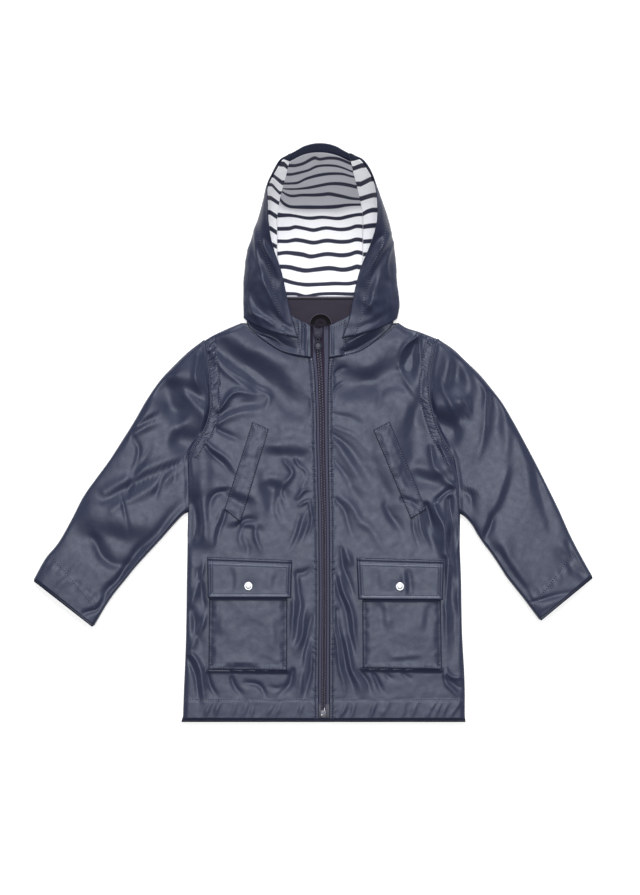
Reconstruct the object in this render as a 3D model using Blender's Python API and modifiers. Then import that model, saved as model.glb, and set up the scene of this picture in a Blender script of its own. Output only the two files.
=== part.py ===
"""A child's hooded raincoat in coated cloth, laid flat on its back with the zip closed.

Tables and dimensions are in millimetres, and every mesh is made in metres. +X runs to the
wearer's left sleeve, +Y to the hood and +Z up from the surface that the coat lies on. The
origin is on the underside of the back, on the centre line, at the level of the underarms.
The names end in _left and _right as the coat is seen from above, -X being left.
"""

import math

import bmesh
import bpy
import numpy as np
from mathutils import Vector
from mathutils.bvhtree import BVHTree

MM = 0.001

# Cloth and clearances
WALL = 1.4
THIN_WALL = 1.0
GAP = 0.4
SEAM_GAP = 0.8
LINING_GAP = 1.1

# How finely smooth lines are drawn before they are spaced out
SPLINE_STEPS = 12
LINE_STEPS = 30
FINE_STEPS = 60

# Body, laid flat
HEM_Y = -376.0
BACK_HEM = [(-194.2, -380.8), (203.8, -380.8)]
BACK_NECK = [(60, 174.6), (0, 173.6), (-60, 174.6)]
BACK_STEPS = {"side": 16, "shoulder": 5}
LOFT = 6.5
EDGE_TOP = 2 * WALL + GAP
ROLL_RADIUS = 9.0
ZIP_EDGE = {"top": 7.0, "fade": 8, "calm": 6}
ARMHOLE_EDGE = {"rise": 0.9, "fade": 10}
LOWEST_FRONT = EDGE_TOP + 0.2
ON_EDGE = 1e-6

# Cells of the cloth grids: counts, and shares of a seam's length where they are uneven
FRONT_CELLS = {"neck": 7, "side": 18}
ARMHOLE_SHARES = (0, 0.1, 0.21, 0.34, 0.5, 0.67, 0.83, 0.95, 1)
SHOULDER_SHARES = (0, 0.36, 0.68, 0.9, 1)
NECK_PART = 0.66
HOOD_CELLS = {"along": 16, "side": 9, "centre": 6}

# Zip: (x, y) down its centre line, and the front edges beside it
ZIP_LINE = [(-2.8, 176), (-2.5, 150), (0.2, 112), (2.2, 56), (3.0, 0), (3.9, -42), (5.3, -98), (6.1, -210),
            (5.0, -322), (4.6, HEM_Y)]
EDGE_LEFT = [(-10.0, 128.6), (-7.4, 108), (-5.2, 56), (-4.1, 0), (-3.1, -42), (-1.6, -98), (-0.8, -210),
             (-1.8, -322), (-1.6, HEM_Y)]
EDGE_RIGHT = [(12.8, 128.6), (11.6, 108), (11.0, 56), (11.3, 0), (12.0, -42), (12.8, -98), (13.4, -210),
              (13.1, -322), (13.0, HEM_Y)]

# Half of the neckline seam, from the zip to the shoulder: (distance from the centre line, y)
NECKLINE = [(12, 128.6), (33, 132), (56, 138.5), (80, 154), (97, 166.5), (110, 177.8)]

SHOULDER = {
    "left": [(-110, 177.8), (-127, 170.8), (-148, 161.1), (-161, 153.3)],
    "right": [(110, 177.8), (122, 170.5), (139, 165.2), (163.8, 155.4)],
}
ARMHOLE = {
    "left": [(-161, 153.3), (-159, 129), (-156, 105), (-154.7, 81), (-154.7, 59), (-159, 39),
             (-166.6, 22.4), (-177.8, 7), (-185.8, -8.4)],
    "right": [(163.8, 155.4), (160.3, 137), (155.4, 112), (154, 81), (157.5, 59), (163.8, 37),
              (171.8, 19), (180.6, 3), (188.8, -12)],
}
SIDE_SEAM = {
    "left": [(-185.8, -8.4), (-184.8, -42), (-184.2, -84), (-185.2, -126), (-186.2, -182),
             (-187.6, -266), (-190.4, -336), (-191.8, HEM_Y)],
    "right": [(188.8, -12), (191.1, -24), (194.4, -42), (196, -87), (195.6, -133), (197.4, -182),
              (198.8, -255), (202.3, -322), (202.7, HEM_Y)],
}

# Sleeves. A row is a section: the outer fold, the underarm edge, and how far the section
# still bows along the armhole seam. The first section lies against the body, and below the
# underarm its edge passes these points.
SLEEVE_BY_SIDE = {"left": [(-185.2, -86), (-185.7, -46)], "right": [(197.2, -88), (195.9, -44)]}
SLEEVE_COLUMNS = ("fold_x", "fold_y", "under_x", "under_y", "bow")
SLEEVE_SECTIONS = {
    "left": [
        (-162.1, 154.3, -185.2, -86, 1.0),
        (-166.5, 151, -191.5, -91, 0.93),
        (-184, 137.5, -203, -102.9, 0.6),
        (-204, 118.5, -216, -117.6, 0.3),
        (-224, 97, -229, -132, 0.12),
        (-243, 69.5, -241, -145, 0),
        (-260, 40, -252, -157, 0),
        (-277, 13, -262, -168.5, 0),
        (-295, -15, -271, -180, 0),
        (-313, -39.5, -280, -191, 0),
        (-331, -65, -288, -201, 0),
        (-348, -98, -295, -211, 0),
        (-366, -129.5, -302, -222, 0),
        (-384, -151.5, -309, -234, 0),
        (-399.8, -179.6, -315.6, -245.3, 0),
    ],
    "right": [
        (164.9, 156.3, 197.2, -88, 1.0),
        (169.5, 152.5, 203, -94, 0.93),
        (187, 140.5, 212.5, -105, 0.6),
        (206, 122.5, 221, -119.5, 0.3),
        (224, 105, 229.5, -132, 0.12),
        (241, 84.5, 238, -143, 0),
        (256, 64.5, 246, -154.5, 0),
        (271, 39, 254, -167, 0),
        (286, 11.5, 261.1, -178, 0),
        (302, -18.8, 268.5, -187.5, 0),
        (318, -50.7, 276, -197, 0),
        (334, -83.4, 283.5, -206.3, 0),
        (350, -119, 291, -216.3, 0),
        (365, -148, 298.5, -226.3, 0),
        (380.4, -175.4, 306.2, -236.6, 0),
    ],
}
SLEEVE_LOFT = 6.6
SLEEVE_EDGE = {"radius": 3.3, "half_flat": 1.6, "fold_power": 6}
SLEEVE_END = {"by_side": 0.67, "by_armhole": 0.86, "rows": (1, 0.25), "fold_rows": 3, "margin": 0.01}
CUFF_STEP = 4.0

# Largest folds, as soft ridges (height above 0) and troughs (below 0) along a bent line
FOLD_COLUMNS = ("x0", "y0", "xm", "ym", "x1", "y1", "half_width", "height")
FOLD_STEPS = 8
FOLD_TAPER = (0.12, 0.88)
FOLDS = {
    "front_left": [
        (-148, 148, -108, 116, -76, 70, 13, 3.5),
        (-144, 46, -115, 76, -81, 73, 13, 3.0),
        (-146, -30, -150, -90, -154, -137, 13, 3.5),
        (-81, -6, -45, -4, -24, -46, 13, 3.0),
        (-24, -175, -24, -230, -32, -330, 12, 3.0),
        (-168, -168, -172, -240, -170, -340, 12, 2.5),
    ],
    "front_right": [
        (139, 150, 112, 132, 96, 84, 13, 3.5),
        (20, 40, 55, 18, 80, -50, 13, 3.0),
        (24, -30, 56, -91, 91, -137, 13, 3.0),
        (162, -20, 176, -80, 182, -150, 12, 3.5),
        (25, -160, 33, -230, 42, -336, 12, 3.0),
        (183, -186, 185, -245, 184, -330, 12, 2.5),
    ],
    "sleeve_left": [
        (-178, 128, -175, 96, -168, 60, 13, 2.5),
        (-192, -22, -231, -34, -277, -67, 13, 3.0),
        (-200, -82, -240, -132, -287, -186, 12, 2.5),
        (-330, -80, -301, -119, -262, -150, 13, 2.5),
    ],
    "sleeve_right": [
        (212, 108, 230, 70, 225, 0, 13, 3.0),
        (252, 56, 262, 0, 250, -70, 13, 2.5),
        (284, -6, 290, -60, 298, -130, 13, 2.5),
        (222, -110, 262, -158, 290, -205, 12, 2.5),
    ],
}

# Hood. A row is a section of one side, from the seam with the centre panel, round the
# outside, to the rim of the face opening. "spread" is how much wider the right side lies.
HOOD_COLUMNS = (
    "seam_x", "seam_y", "seam_z", "base_x", "base_y", "base_z", "out_x", "out_y", "out_z",
    "mid_x", "mid_y", "mid_z", "rim_x", "rim_y", "rim_z", "spread",
)
HOOD_SECTIONS = [
    (60, 200, 0, 90, 196, 0.4, 105.8, 184.2, 8, 70, 165.4, 16.5, 29.9, 155.4, 16, 1.02),
    (60, 220, 0, 90, 215, 0.4, 106.8, 203.5, 10, 76, 192.1, 21, 38.8, 183.2, 18, 1.04),
    (60, 245, 0, 90, 241, 0.4, 106.2, 236.4, 12, 80, 223.6, 27, 46.8, 217.9, 22, 1.01),
    (60, 273, 0, 88, 270, 0.4, 102.6, 266.1, 14, 83.3, 257.9, 32, 54.6, 252.2, 29.5, 1.03),
    (60, 301, 0, 85, 299.9, 0.8, 95.1, 295.7, 18, 84.6, 289.9, 37, 66.5, 285.2, 40, 1.06),
    (60, 326, 0.4, 79.9, 325.8, 3, 86, 323.5, 25, 81.1, 320, 43, 71.5, 315.2, 51, 1.1),
    (57.9, 345.2, 7, 72.7, 345.7, 15, 78.7, 345.3, 38, 78, 344.1, 52, 73.1, 340.7, 60, 1.09),
    (53.6, 363, 27, 64.4, 364.6, 37, 72.5, 365.9, 55, 73.8, 365.3, 62, 72.8, 363.5, 67, 1.06),
    (48.4, 380.5, 47, 55.7, 383.1, 56, 62, 384, 64, 64.4, 383.4, 68.5, 65.3, 382.5, 71.5, 1.09),
    (44.3, 395.6, 62, 47.2, 396.7, 65.4, 50.1, 397.5, 68.6, 53, 398.2, 71.4, 55.9, 398.6, 74, 1.08),
    (39.3, 408.2, 74.6, 40.7, 407.8, 75, 42.2, 407.2, 75.4, 43.7, 406.4, 75.8, 45.1, 405.4, 76.2, 1.05),
]
# Middle of the centre panel, at the same sections: (y, z)
HOOD_CENTRE = [(200, 0), (220, 0), (245, 0), (273, 0), (301, 0), (326, 0.4), (348.5, 6),
               (369.6, 26), (390.5, 46), (407.4, 64), (421.5, 80)]
HOOD_BOW = 0.75
LINING_START = {"centre": 1, "side": 2}
LINING_INSET = 0.04
RIM_CELLS = 2

# Collar. A row is a section of one half of the band, from the zip round to the centre back.
COLLAR_COLUMNS = ("seam_x", "seam_y", "seam_z", "top_x", "top_y", "top_z")
COLLAR_SECTIONS = [
    (12.6, 129.8, 9.0, 13.4, 174, 11),
    (33, 133.4, 9.0, 28, 181, 11),
    (56, 140.2, 9.0, 42, 188, 11),
    (78, 154.6, 8.7, 60, 194, 10.4),
    (92, 166.0, 7.8, 74, 199, 8.8),
    (99.5, 174.0, 6.6, 82, 203, 7.0),
    (101.5, 180.2, 5.0, 85, 206.5, 5.2),
    (97, 181.2, 3.9, 80, 209.5, 4.0),
    (70, 178.6, 3.8, 58, 211.4, 3.8),
    (0, 177.2, 3.8, 0, 211.4, 3.8),
]
COLLAR_CELLS = {"round": 30, "high": 3}
FACING = {"half_width": 74, "low_y": 177.5, "top_y": 210.6, "top_z": 6.3, "cells": (8, 3)}
CHIN_GUARD = {"y": 177.5, "half_width": 15, "height": 13.5, "low_z": 9.0, "rise": 3.6, "inner": 0.2,
              "cells": (10, 2)}

# Zip hardware
TAPE = {"top_z": 4.9, "thick": 0.9, "under_front": 3.0, "short_of_hem": 2, "cells": 12}
CHAIN = {"width": 6.4, "top_z": 6.1, "thick": 2.6, "top_y": 160.5}
SLIDER = {"y": 162, "length": 16, "width": 10.5, "plate": 1.0, "top_z": 7.6, "low_z": 2.0}
SLIDER_POST = {"y": 167, "length": 4, "width": 2.2}
BRIDGE = {"y": 159, "length": 7.6, "width": 2.4, "top_z": 10.9, "slot_length": 4.6, "slot_top_z": 9.7}
PULL = {"axis_z": 8.75, "bar_radius": 0.55, "half_bar": 2.9, "bar_short": 0.1, "arm": 1.0, "arm_lap": 1.2,
        "thick": 1.1, "disc_y": 145.8, "disc_radius": 5.9, "disc_thick": 1.5, "dish_depth": 0.5, "rim": 1.3}
ZIP_BOX = {"y": -369.0, "length": 11, "width": 8.4, "neck": 6.2, "top_z": 7.1, "low_z": 2.4, "step_z": 5.3}

# Pockets: corners in order top left, top right, bottom right, bottom left
WELT = {
    "left": [(-94.4, 39.3), (-71.5, 29.3), (-110.9, -101), (-133.7, -82.9)],
    "right": [(74.3, 27.9), (97.2, 40), (148.5, -82.9), (127.1, -96.5)],
}
POCKET = {
    "left": [(-154.6, -158), (-45.6, -160), (-46, -308.4), (-155.8, -306.6)],
    "right": [(58.8, -159), (167.8, -161), (170.5, -306.6), (59.8, -304.9)],
}
FLAP = {
    "left": [(-157.6, -149.5), (-38.9, -154), (-40.6, -206.6), (-156.7, -206.6)],
    "right": [(51, -150.4), (173.2, -154), (171.4, -209.3), (53.6, -208.5)],
}
SNAP = {"left": (-100, -190), "right": (111.6, -190.5)}
POCKET_RISE = 4.2
SEWN_RISE = 2.0
FLAP_RISE = 2.2
FOLD_FREE = {"within": 10, "fade": 16}
PATCH_REACH = 5.0
WELT_SHARES = ((0, 0.16, 0.5, 0.84, 1), (0, 0.02, 0.1, 0.2, 0.3, 0.4, 0.5, 0.6, 0.7, 0.8, 0.9, 0.98, 1))
POCKET_SHARES = ((0, 0.035, 0.25, 0.5, 0.75, 0.965, 1), (0, 0.03, 0.25, 0.5, 0.75, 0.97, 1))
FLAP_SHARES = ((0, 0.035, 0.25, 0.5, 0.75, 0.965, 1), (0, 0.06, 0.4, 0.8, 1))
SNAP_PROFILE = [(0, 1.9), (2.4, 1.8), (4.2, 1.3), (4.9, 0.8), (5.2, 1.1), (5.8, 1.0), (6.1, 0.5),
                (6.1, 0), (0, 0)]

COLOURS = {
    "coated_cloth": ((0.060, 0.066, 0.100), 0.38, 0.0),
    "plum_jersey": ((0.036, 0.028, 0.044), 0.85, 0.0),
    "striped_jersey": ((0.80, 0.81, 0.84), 0.85, 0.0),
    "zip_tape": ((0.050, 0.046, 0.068), 0.8, 0.0),
    "zip_moulding": ((0.060, 0.058, 0.082), 0.4, 0.0),
    "dark_metal": ((0.050, 0.052, 0.070), 0.35, 0.7),
    "bright_metal": ((0.80, 0.81, 0.83), 0.25, 1.0),
}


def clear_scene():
    for old in list(bpy.data.objects):
        bpy.data.objects.remove(old)


def new_collection(name):
    collection = bpy.data.collections.new(name)
    bpy.context.scene.collection.children.link(collection)
    return collection


def material(name):
    found = bpy.data.materials.get(name)
    if found:
        return found
    colour, roughness, metallic = COLOURS[name]
    made = bpy.data.materials.new(name)
    made.use_nodes = True
    shader = made.node_tree.nodes["Principled BSDF"]
    shader.inputs["Base Color"].default_value = (*colour, 1)
    shader.inputs["Roughness"].default_value = roughness
    shader.inputs["Metallic"].default_value = metallic
    return made


def add_object(name, data, collection, finish=None):
    made = bpy.data.objects.new(name, data)
    collection.objects.link(made)
    if finish:
        data.materials.append(material(finish))
    return made


# Curves through points


def spline(points, count):
    """count + 1 points, evenly spaced along a Catmull-Rom curve through the given ones."""
    given = np.array(points, float)
    ends = np.vstack([2 * given[0] - given[1], given, 2 * given[-1] - given[-2]])
    steps = np.linspace(0, 1, SPLINE_STEPS, endpoint=False)[:, None]
    runs = []
    for a, b, c, d in zip(ends, ends[1:], ends[2:], ends[3:]):
        runs.append(0.5 * (2 * b + (c - a) * steps + (2 * a - 5 * b + 4 * c - d) * steps**2
                           + (3 * b - a - 3 * c + d) * steps**3))
    dense = np.vstack([*runs, given[-1:]])
    along = np.concatenate([[0], np.cumsum(np.linalg.norm(np.diff(dense, axis=0), axis=1))])
    wanted = np.linspace(0, along[-1], count + 1)
    return np.column_stack([np.interp(wanted, along, column) for column in dense.T])


def between_rows(rows, count):
    """Table rows blended smoothly, count + 1 of them, with the given rows evenly spaced."""
    table = np.array(rows, float)
    ends = np.vstack([2 * table[0] - table[1], table, 2 * table[-1] - table[-2]])
    found = []
    for place in np.linspace(0, len(table) - 1, count + 1):
        first = min(int(place), len(table) - 2)
        t = place - first
        a, b, c, d = ends[first:first + 4]
        found.append(0.5 * (2 * b + (c - a) * t + (2 * a - 5 * b + 4 * c - d) * t**2
                            + (3 * b - a - 3 * c + d) * t**3))
    return np.array(found)


def respaced(path, shares):
    """Points of a path at the given shares of its length."""
    along = np.concatenate([[0], np.cumsum(np.linalg.norm(np.diff(path, axis=0), axis=1))])
    return np.column_stack([np.interp(np.array(shares) * along[-1], along, c) for c in path.T])


def distance_to(path, points):
    """Distance of each point from a polyline, in the plane."""
    path = np.array(path, float)[:, :2]
    nearest = np.full(points.shape[:-1], np.inf)
    for a, b in zip(path, path[1:]):
        run = b - a
        t = np.clip(((points - a) @ run) / (run @ run), 0, 1)
        nearest = np.minimum(nearest, np.linalg.norm(points - (a + t[..., None] * run), axis=-1))
    return nearest


# Cloth


def fold_height(folds, points):
    """Height that the named folds add at each (x, y)."""
    total = np.zeros(points.shape[:-1])
    for row in folds:
        fold = dict(zip(FOLD_COLUMNS, row))
        ends = np.array([(fold["x0"], fold["y0"]), (fold["xm"], fold["ym"]), (fold["x1"], fold["y1"])])
        path = spline(ends, FOLD_STEPS)
        nearest = np.full(total.shape, np.inf)
        share = np.zeros(total.shape)
        for i, (a, b) in enumerate(zip(path, path[1:])):
            run = b - a
            t = np.clip(((points - a) @ run) / (run @ run), 0, 1)
            away = np.linalg.norm(points - (a + t[..., None] * run), axis=-1)
            closer = away < nearest
            nearest = np.where(closer, away, nearest)
            share = np.where(closer, (i + t) / FOLD_STEPS, share)
        taper = np.sin(np.pi * (FOLD_TAPER[0] + (FOLD_TAPER[1] - FOLD_TAPER[0]) * share))
        total += fold["height"] * taper * np.exp(-((nearest / fold["half_width"]) ** 2))
    return total


def off_patch(corners, points):
    """0 on a four-cornered patch and close round it, rising smoothly to 1 further out."""
    ring = [*corners, corners[0]]
    away = distance_to(ring, points)
    inside = np.ones(points.shape[:-1], bool)
    for (ax, ay), (bx, by) in zip(ring, ring[1:]):
        inside &= (bx - ax) * (points[..., 1] - ay) - (by - ay) * (points[..., 0] - ax) < 0
    t = np.where(inside, 0, np.clip((away - FOLD_FREE["within"]) / FOLD_FREE["fade"], 0, 1))
    return t * t * (3 - 2 * t)


def grid_mesh(name, points):
    """A grid of faces through points[row][column], in millimetres, facing along row x column."""
    rows, columns = points.shape[:2]
    bm = bmesh.new()
    bmesh.ops.create_grid(bm, x_segments=columns - 1, y_segments=rows - 1, size=0.5)
    bm.verts.ensure_lookup_table()
    for vert in bm.verts:
        column = round((vert.co.x + 0.5) * (columns - 1))
        row = round((vert.co.y + 0.5) * (rows - 1))
        vert.co = Vector(points[row][column]) * MM
    mesh = bpy.data.meshes.new(name)
    bm.to_mesh(mesh)
    bm.free()
    return mesh


def cloth(name, points, wall, finish, collection, closed=False):
    """A cloth piece: the grid is its outer face, and the wall lies behind it."""
    mesh = grid_mesh(name, points)
    if closed:
        bm = bmesh.new()
        bm.from_mesh(mesh)
        bmesh.ops.remove_doubles(bm, verts=bm.verts, dist=1e-6)
        bm.to_mesh(mesh)
        bm.free()
    made = add_object(name, mesh, collection, finish)
    thicken = made.modifiers.new("wall", "SOLIDIFY")
    thicken.thickness = wall * MM
    thicken.offset = -1
    mesh.shade_smooth()
    return made


def surface_of(mesh):
    """Height of a grid mesh at (x, y), all in millimetres."""
    above = 10 * LOFT
    tree = BVHTree.FromPolygons([v.co / MM for v in mesh.vertices], [p.vertices for p in mesh.polygons])

    def height(x, y):
        hit = tree.ray_cast(Vector((x, y, above)), Vector((0, 0, -1)))[0]
        if hit is None:
            return tree.find_nearest(Vector((x, y, LOFT)))[0].z
        return hit.z

    return height


# Body


def neckline(side):
    sign = -1 if side == "left" else 1
    edge = (EDGE_LEFT if side == "left" else EDGE_RIGHT)[0]
    return [edge, *[(sign * x, y) for x, y in NECKLINE[1:]]]


def armhole_points(side):
    """The armhole seam, from the underarm to the shoulder."""
    return respaced(spline(ARMHOLE[side][::-1], FINE_STEPS), ARMHOLE_SHARES)


def front_points(side):
    """Grid of the front's outer face: rows run up from the hem, columns out from the zip."""
    side_seam = spline(SIDE_SEAM[side][::-1], FRONT_CELLS["side"])
    outer = np.vstack([side_seam, armhole_points(side)[1:]])
    shoulder = respaced(spline(SHOULDER[side], LINE_STEPS), SHOULDER_SHARES)
    top = np.vstack([spline(neckline(side), FRONT_CELLS["neck"]), shoulder[1:]])
    inner = spline((EDGE_LEFT if side == "left" else EDGE_RIGHT)[::-1], len(outer) - 1)
    beyond_neck = NECK_PART + (1 - NECK_PART) * np.array(SHOULDER_SHARES[1:])
    across = np.concatenate([np.linspace(0, NECK_PART, FRONT_CELLS["neck"] + 1), beyond_neck])
    up = np.linspace(0, 1, len(outer))
    hem = inner[0] + across[:, None] * (outer[0] - inner[0])
    u, v = across[None, :, None], up[:, None, None]
    sides = (1 - u) * inner[:, None] + u * outer[:, None]
    ends = (1 - v) * hem[None] + v * top[None]
    corners = (1 - v) * ((1 - u) * hem[0] + u * hem[-1]) + v * ((1 - u) * top[0] + u * top[-1])
    plane = sides + ends - corners
    return np.dstack([plane, front_height(side, plane)])


def front_height(side, plane):
    """Height of the front's outer face, rolled down at the side and shoulder seams."""
    edge = np.minimum(distance_to(spline(SIDE_SEAM[side], LINE_STEPS), plane),
                      distance_to(spline(SHOULDER[side], LINE_STEPS), plane))
    roll = np.sqrt(1 - (1 - np.clip(edge / ROLL_RADIUS, 0, 1)) ** 2)
    folds = fold_height(FOLDS[f"front_{side}"], plane)
    for patch in (POCKET[side], FLAP[side]):
        folds = folds * off_patch(patch, plane)
    from_zip = distance_to(spline(EDGE_LEFT if side == "left" else EDGE_RIGHT, LINE_STEPS), plane)
    from_arm = distance_to(spline(ARMHOLE[side], LINE_STEPS), plane)
    zip_rise = (ZIP_EDGE["top"] - LOFT) * np.exp(-from_zip / ZIP_EDGE["fade"])
    arm_rise = ARMHOLE_EDGE["rise"] * np.exp(-from_arm / ARMHOLE_EDGE["fade"])
    calm = 1 - np.exp(-((from_zip / ZIP_EDGE["calm"]) ** 2))
    top = LOFT + arm_rise + zip_rise + folds * calm
    lowest = np.where(edge < ON_EDGE, EDGE_TOP, LOWEST_FRONT * roll)
    return np.maximum(EDGE_TOP + (top - EDGE_TOP) * roll, lowest)


def build_front(side, collection):
    points = front_points(side)
    if side == "left":
        points = points[:, ::-1]
    return cloth(f"front_{side}", points, WALL, "coated_cloth", collection)


def build_back(collection):
    """The back panel, one flat piece that ends a little below the fronts."""
    outline = np.vstack([
        BACK_HEM,
        spline(SIDE_SEAM["right"][::-1], BACK_STEPS["side"])[1:-1],
        armhole_points("right")[:-1],
        spline(SHOULDER["right"][::-1], BACK_STEPS["shoulder"]),
        BACK_NECK,
        spline(SHOULDER["left"], BACK_STEPS["shoulder"]),
        armhole_points("left")[-2::-1],
        spline(SIDE_SEAM["left"], BACK_STEPS["side"])[1:-1],
    ])
    curve = bpy.data.curves.new("back_panel", "CURVE")
    curve.dimensions = "2D"
    curve.fill_mode = "BOTH"
    curve.extrude = WALL / 2 * MM
    line = curve.splines.new("POLY")
    line.points.add(len(outline) - 1)
    for point, (x, y) in zip(line.points, outline):
        point.co = (x * MM, y * MM, 0, 1)
    line.use_cyclic_u = True
    made = add_object("back_panel", curve, collection, "coated_cloth")
    made.location.z = WALL / 2 * MM
    return made


# Sleeves


def sleeve_end(side):
    """The sleeve's first edge: up the side of the body, and round the armhole."""
    seam = armhole_points(side)
    run = np.gradient(seam, axis=0)
    away = np.column_stack([-run[:, 1], run[:, 0]]) / np.linalg.norm(run, axis=1, keepdims=True)
    away *= SEAM_GAP * (1 if side == "left" else -1)
    path = np.vstack([SLEEVE_BY_SIDE[side], seam + away])
    path[-1] = SLEEVE_SECTIONS[side][0][:2]
    along = np.concatenate([[0], np.cumsum(np.linalg.norm(np.diff(path, axis=0), axis=1))])
    return path, along / along[-1]


def sleeve_ring(cut, shares, bow):
    """One closed ring: over the top to the outer fold, and back along the bottom.

    Returns each point's (x, y), its height without folds, how much of a fold it takes, and
    its share of the way from the underarm edge to the outer fold.
    """
    under = np.array((cut["under_x"], cut["under_y"]))
    fold = np.array((cut["fold_x"], cut["fold_y"]))
    inset = SLEEVE_EDGE["radius"] / np.linalg.norm(fold - under)
    half, flat = SLEEVE_LOFT / 2, SLEEVE_EDGE["half_flat"]
    power = SLEEVE_EDGE["fold_power"]
    between = [(share, 2 * half, 1 - abs(2 * share - 1) ** power) for share in shares[1:-2]]
    over = [(0, half + flat, 0), (inset, 2 * half, 0), *between, (1 - inset, 2 * half, 0), (1, half + flat, 0)]
    back = [(share, 2 * half - high, 0) for share, high, _ in over[::-1]]
    share, height, takes_fold = np.array(over + back + over[:1]).T
    shift = np.column_stack([np.interp(share, shares, bow[:, axis]) for axis in (0, 1)])
    return under + share[:, None] * (fold - under) + shift, height, takes_fold, share


def sleeve_points(side):
    """Closed rings of the sleeve's outer face, from the body to the cuff."""
    path, shares = sleeve_end(side)
    bow = path - (path[0] + shares[:, None] * (path[-1] - path[0]))
    underarm = shares[len(SLEEVE_BY_SIDE[side])]
    points = []
    for number, row in enumerate(SLEEVE_SECTIONS[side]):
        cut = dict(zip(SLEEVE_COLUMNS, row))
        plane, height, takes_fold, share = sleeve_ring(cut, shares, bow * cut["bow"])
        takes_fold = takes_fold * min(1, number / SLEEVE_END["fold_rows"])
        height = height + fold_height(FOLDS[f"sleeve_{side}"], plane) * takes_fold
        if number < len(SLEEVE_END["rows"]):
            beside = share < underarm + SLEEVE_END["margin"]
            low = np.where(beside, SLEEVE_END["by_side"], SLEEVE_END["by_armhole"])
            height = height * (1 - (1 - low) * SLEEVE_END["rows"][number])
        if number == len(SLEEVE_SECTIONS[side]) - 1:
            along = np.array((cut["fold_y"] - cut["under_y"], cut["under_x"] - cut["fold_x"]))
            along *= CUFF_STEP / np.linalg.norm(along) * (1 if side == "right" else -1)
            plane = plane + (height < SLEEVE_LOFT / 2)[:, None] * along
        points.append(np.column_stack([plane, height]))
    return np.array(points)


def build_sleeve(side, collection):
    points = sleeve_points(side)
    if side == "right":
        points = points[::-1]
    return cloth(f"sleeve_{side}", points, WALL, "coated_cloth", collection, closed=True)


# Hood


def hood_rows():
    return between_rows(HOOD_SECTIONS, HOOD_CELLS["along"])


def hood_side_points(side):
    """Grid of a hood side's outer face: rows run to the crown, columns from seam to rim."""
    sign = -1 if side == "left" else 1
    points = []
    for row in hood_rows():
        cut = dict(zip(HOOD_COLUMNS, row))
        spread = 1 if side == "left" else cut["spread"]
        ring = []
        for key in ("seam", "base", "out", "mid", "rim"):
            wide = 1 if key == "seam" else spread
            ring.append((sign * cut[f"{key}_x"] * wide, cut[f"{key}_y"], cut[f"{key}_z"]))
        ring[0] = (ring[0][0] + sign * SEAM_GAP / 2, *ring[0][1:])
        line = spline(ring, HOOD_CELLS["side"])
        line[:, 2] = np.maximum(line[:, 2], 0)
        points.append(line)
    return np.array(points)


def hood_centre_points():
    """Grid of the hood's centre panel: rows run to the crown, columns from left to right."""
    middle = between_rows(HOOD_CENTRE, HOOD_CELLS["along"])
    points = []
    for row, (y, z) in zip(hood_rows(), middle):
        cut = dict(zip(HOOD_COLUMNS, row))
        half = cut["seam_x"] - SEAM_GAP / 2
        near = [HOOD_BOW * mid + (1 - HOOD_BOW) * cut[key] for mid, key in ((y, "seam_y"), (z, "seam_z"))]
        right = [(0, y, z), (half / 2, *near), (half, cut["seam_y"], cut["seam_z"])]
        left = [(-x, *rest) for x, *rest in right[:0:-1]]
        line = spline(left + right, HOOD_CELLS["centre"])
        line[:, 2] = np.maximum(line[:, 2], 0)
        points.append(line)
    return np.array(points)


def moved_in(points, distance):
    """The same grid, each point moved along the surface normal, to the inside of the hood."""
    along = np.gradient(points, axis=0)
    across = np.gradient(points, axis=1)
    normal = np.cross(across, along)
    normal /= np.linalg.norm(normal, axis=-1, keepdims=True)
    return points + distance * normal


def build_hood(collection):
    """Three outer panels, and the three of the lining, which ends short of the rim."""
    inside = WALL + LINING_GAP
    centre = hood_centre_points()
    cloth("hood_centre", centre[:, ::-1], WALL, "coated_cloth", collection)
    lined = moved_in(centre, inside)[LINING_START["centre"]:-RIM_CELLS]
    lined[:, 0] += (lined[:, 1] - lined[:, 0]) * LINING_INSET
    lined[:, -1] += (lined[:, -2] - lined[:, -1]) * LINING_INSET
    cloth("lining_centre", lined[:, ::-1], THIN_WALL, "striped_jersey", collection)
    for side in ("left", "right"):
        panel = hood_side_points(side)
        turned = panel if side == "left" else panel[:, ::-1]
        cloth(f"hood_side_{side}", turned, WALL, "coated_cloth", collection)
        inward = moved_in(panel, inside if side == "right" else -inside)
        lined = inward[LINING_START["side"]:-RIM_CELLS, :-RIM_CELLS]
        lined = lined if side == "left" else lined[:, ::-1]
        cloth(f"lining_side_{side}", lined, THIN_WALL, "striped_jersey", collection)


# Collar


def build_collar(collection):
    """One band round the neck, from the zip over the front, round the fold and across the back."""
    half = [dict(zip(COLLAR_COLUMNS, row)) for row in COLLAR_SECTIONS]
    band = []
    for sign, rows in ((-1, half), (1, half[-2::-1])):
        for cut in rows:
            seam = (sign * cut["seam_x"], cut["seam_y"], cut["seam_z"])
            top = (sign * cut["top_x"], cut["top_y"], cut["top_z"])
            band.append((*seam, *top))
    rows = between_rows(band, COLLAR_CELLS["round"])
    share = np.linspace(0, 1, COLLAR_CELLS["high"] + 1)[None, :, None]
    points = rows[:, None, :3] + share * (rows[:, None, 3:] - rows[:, None, :3])
    cloth("collar", points[:, ::-1], WALL, "coated_cloth", collection)


def build_facing(collection):
    columns, rows = FACING["cells"]
    x = np.linspace(-FACING["half_width"], FACING["half_width"], columns + 1)
    y = np.linspace(FACING["low_y"], FACING["top_y"], rows + 1)
    grid = np.dstack([*np.meshgrid(x, y), np.full((rows + 1, columns + 1), FACING["top_z"])])
    cloth("collar_facing", grid, THIN_WALL, "plum_jersey", collection)


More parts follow.
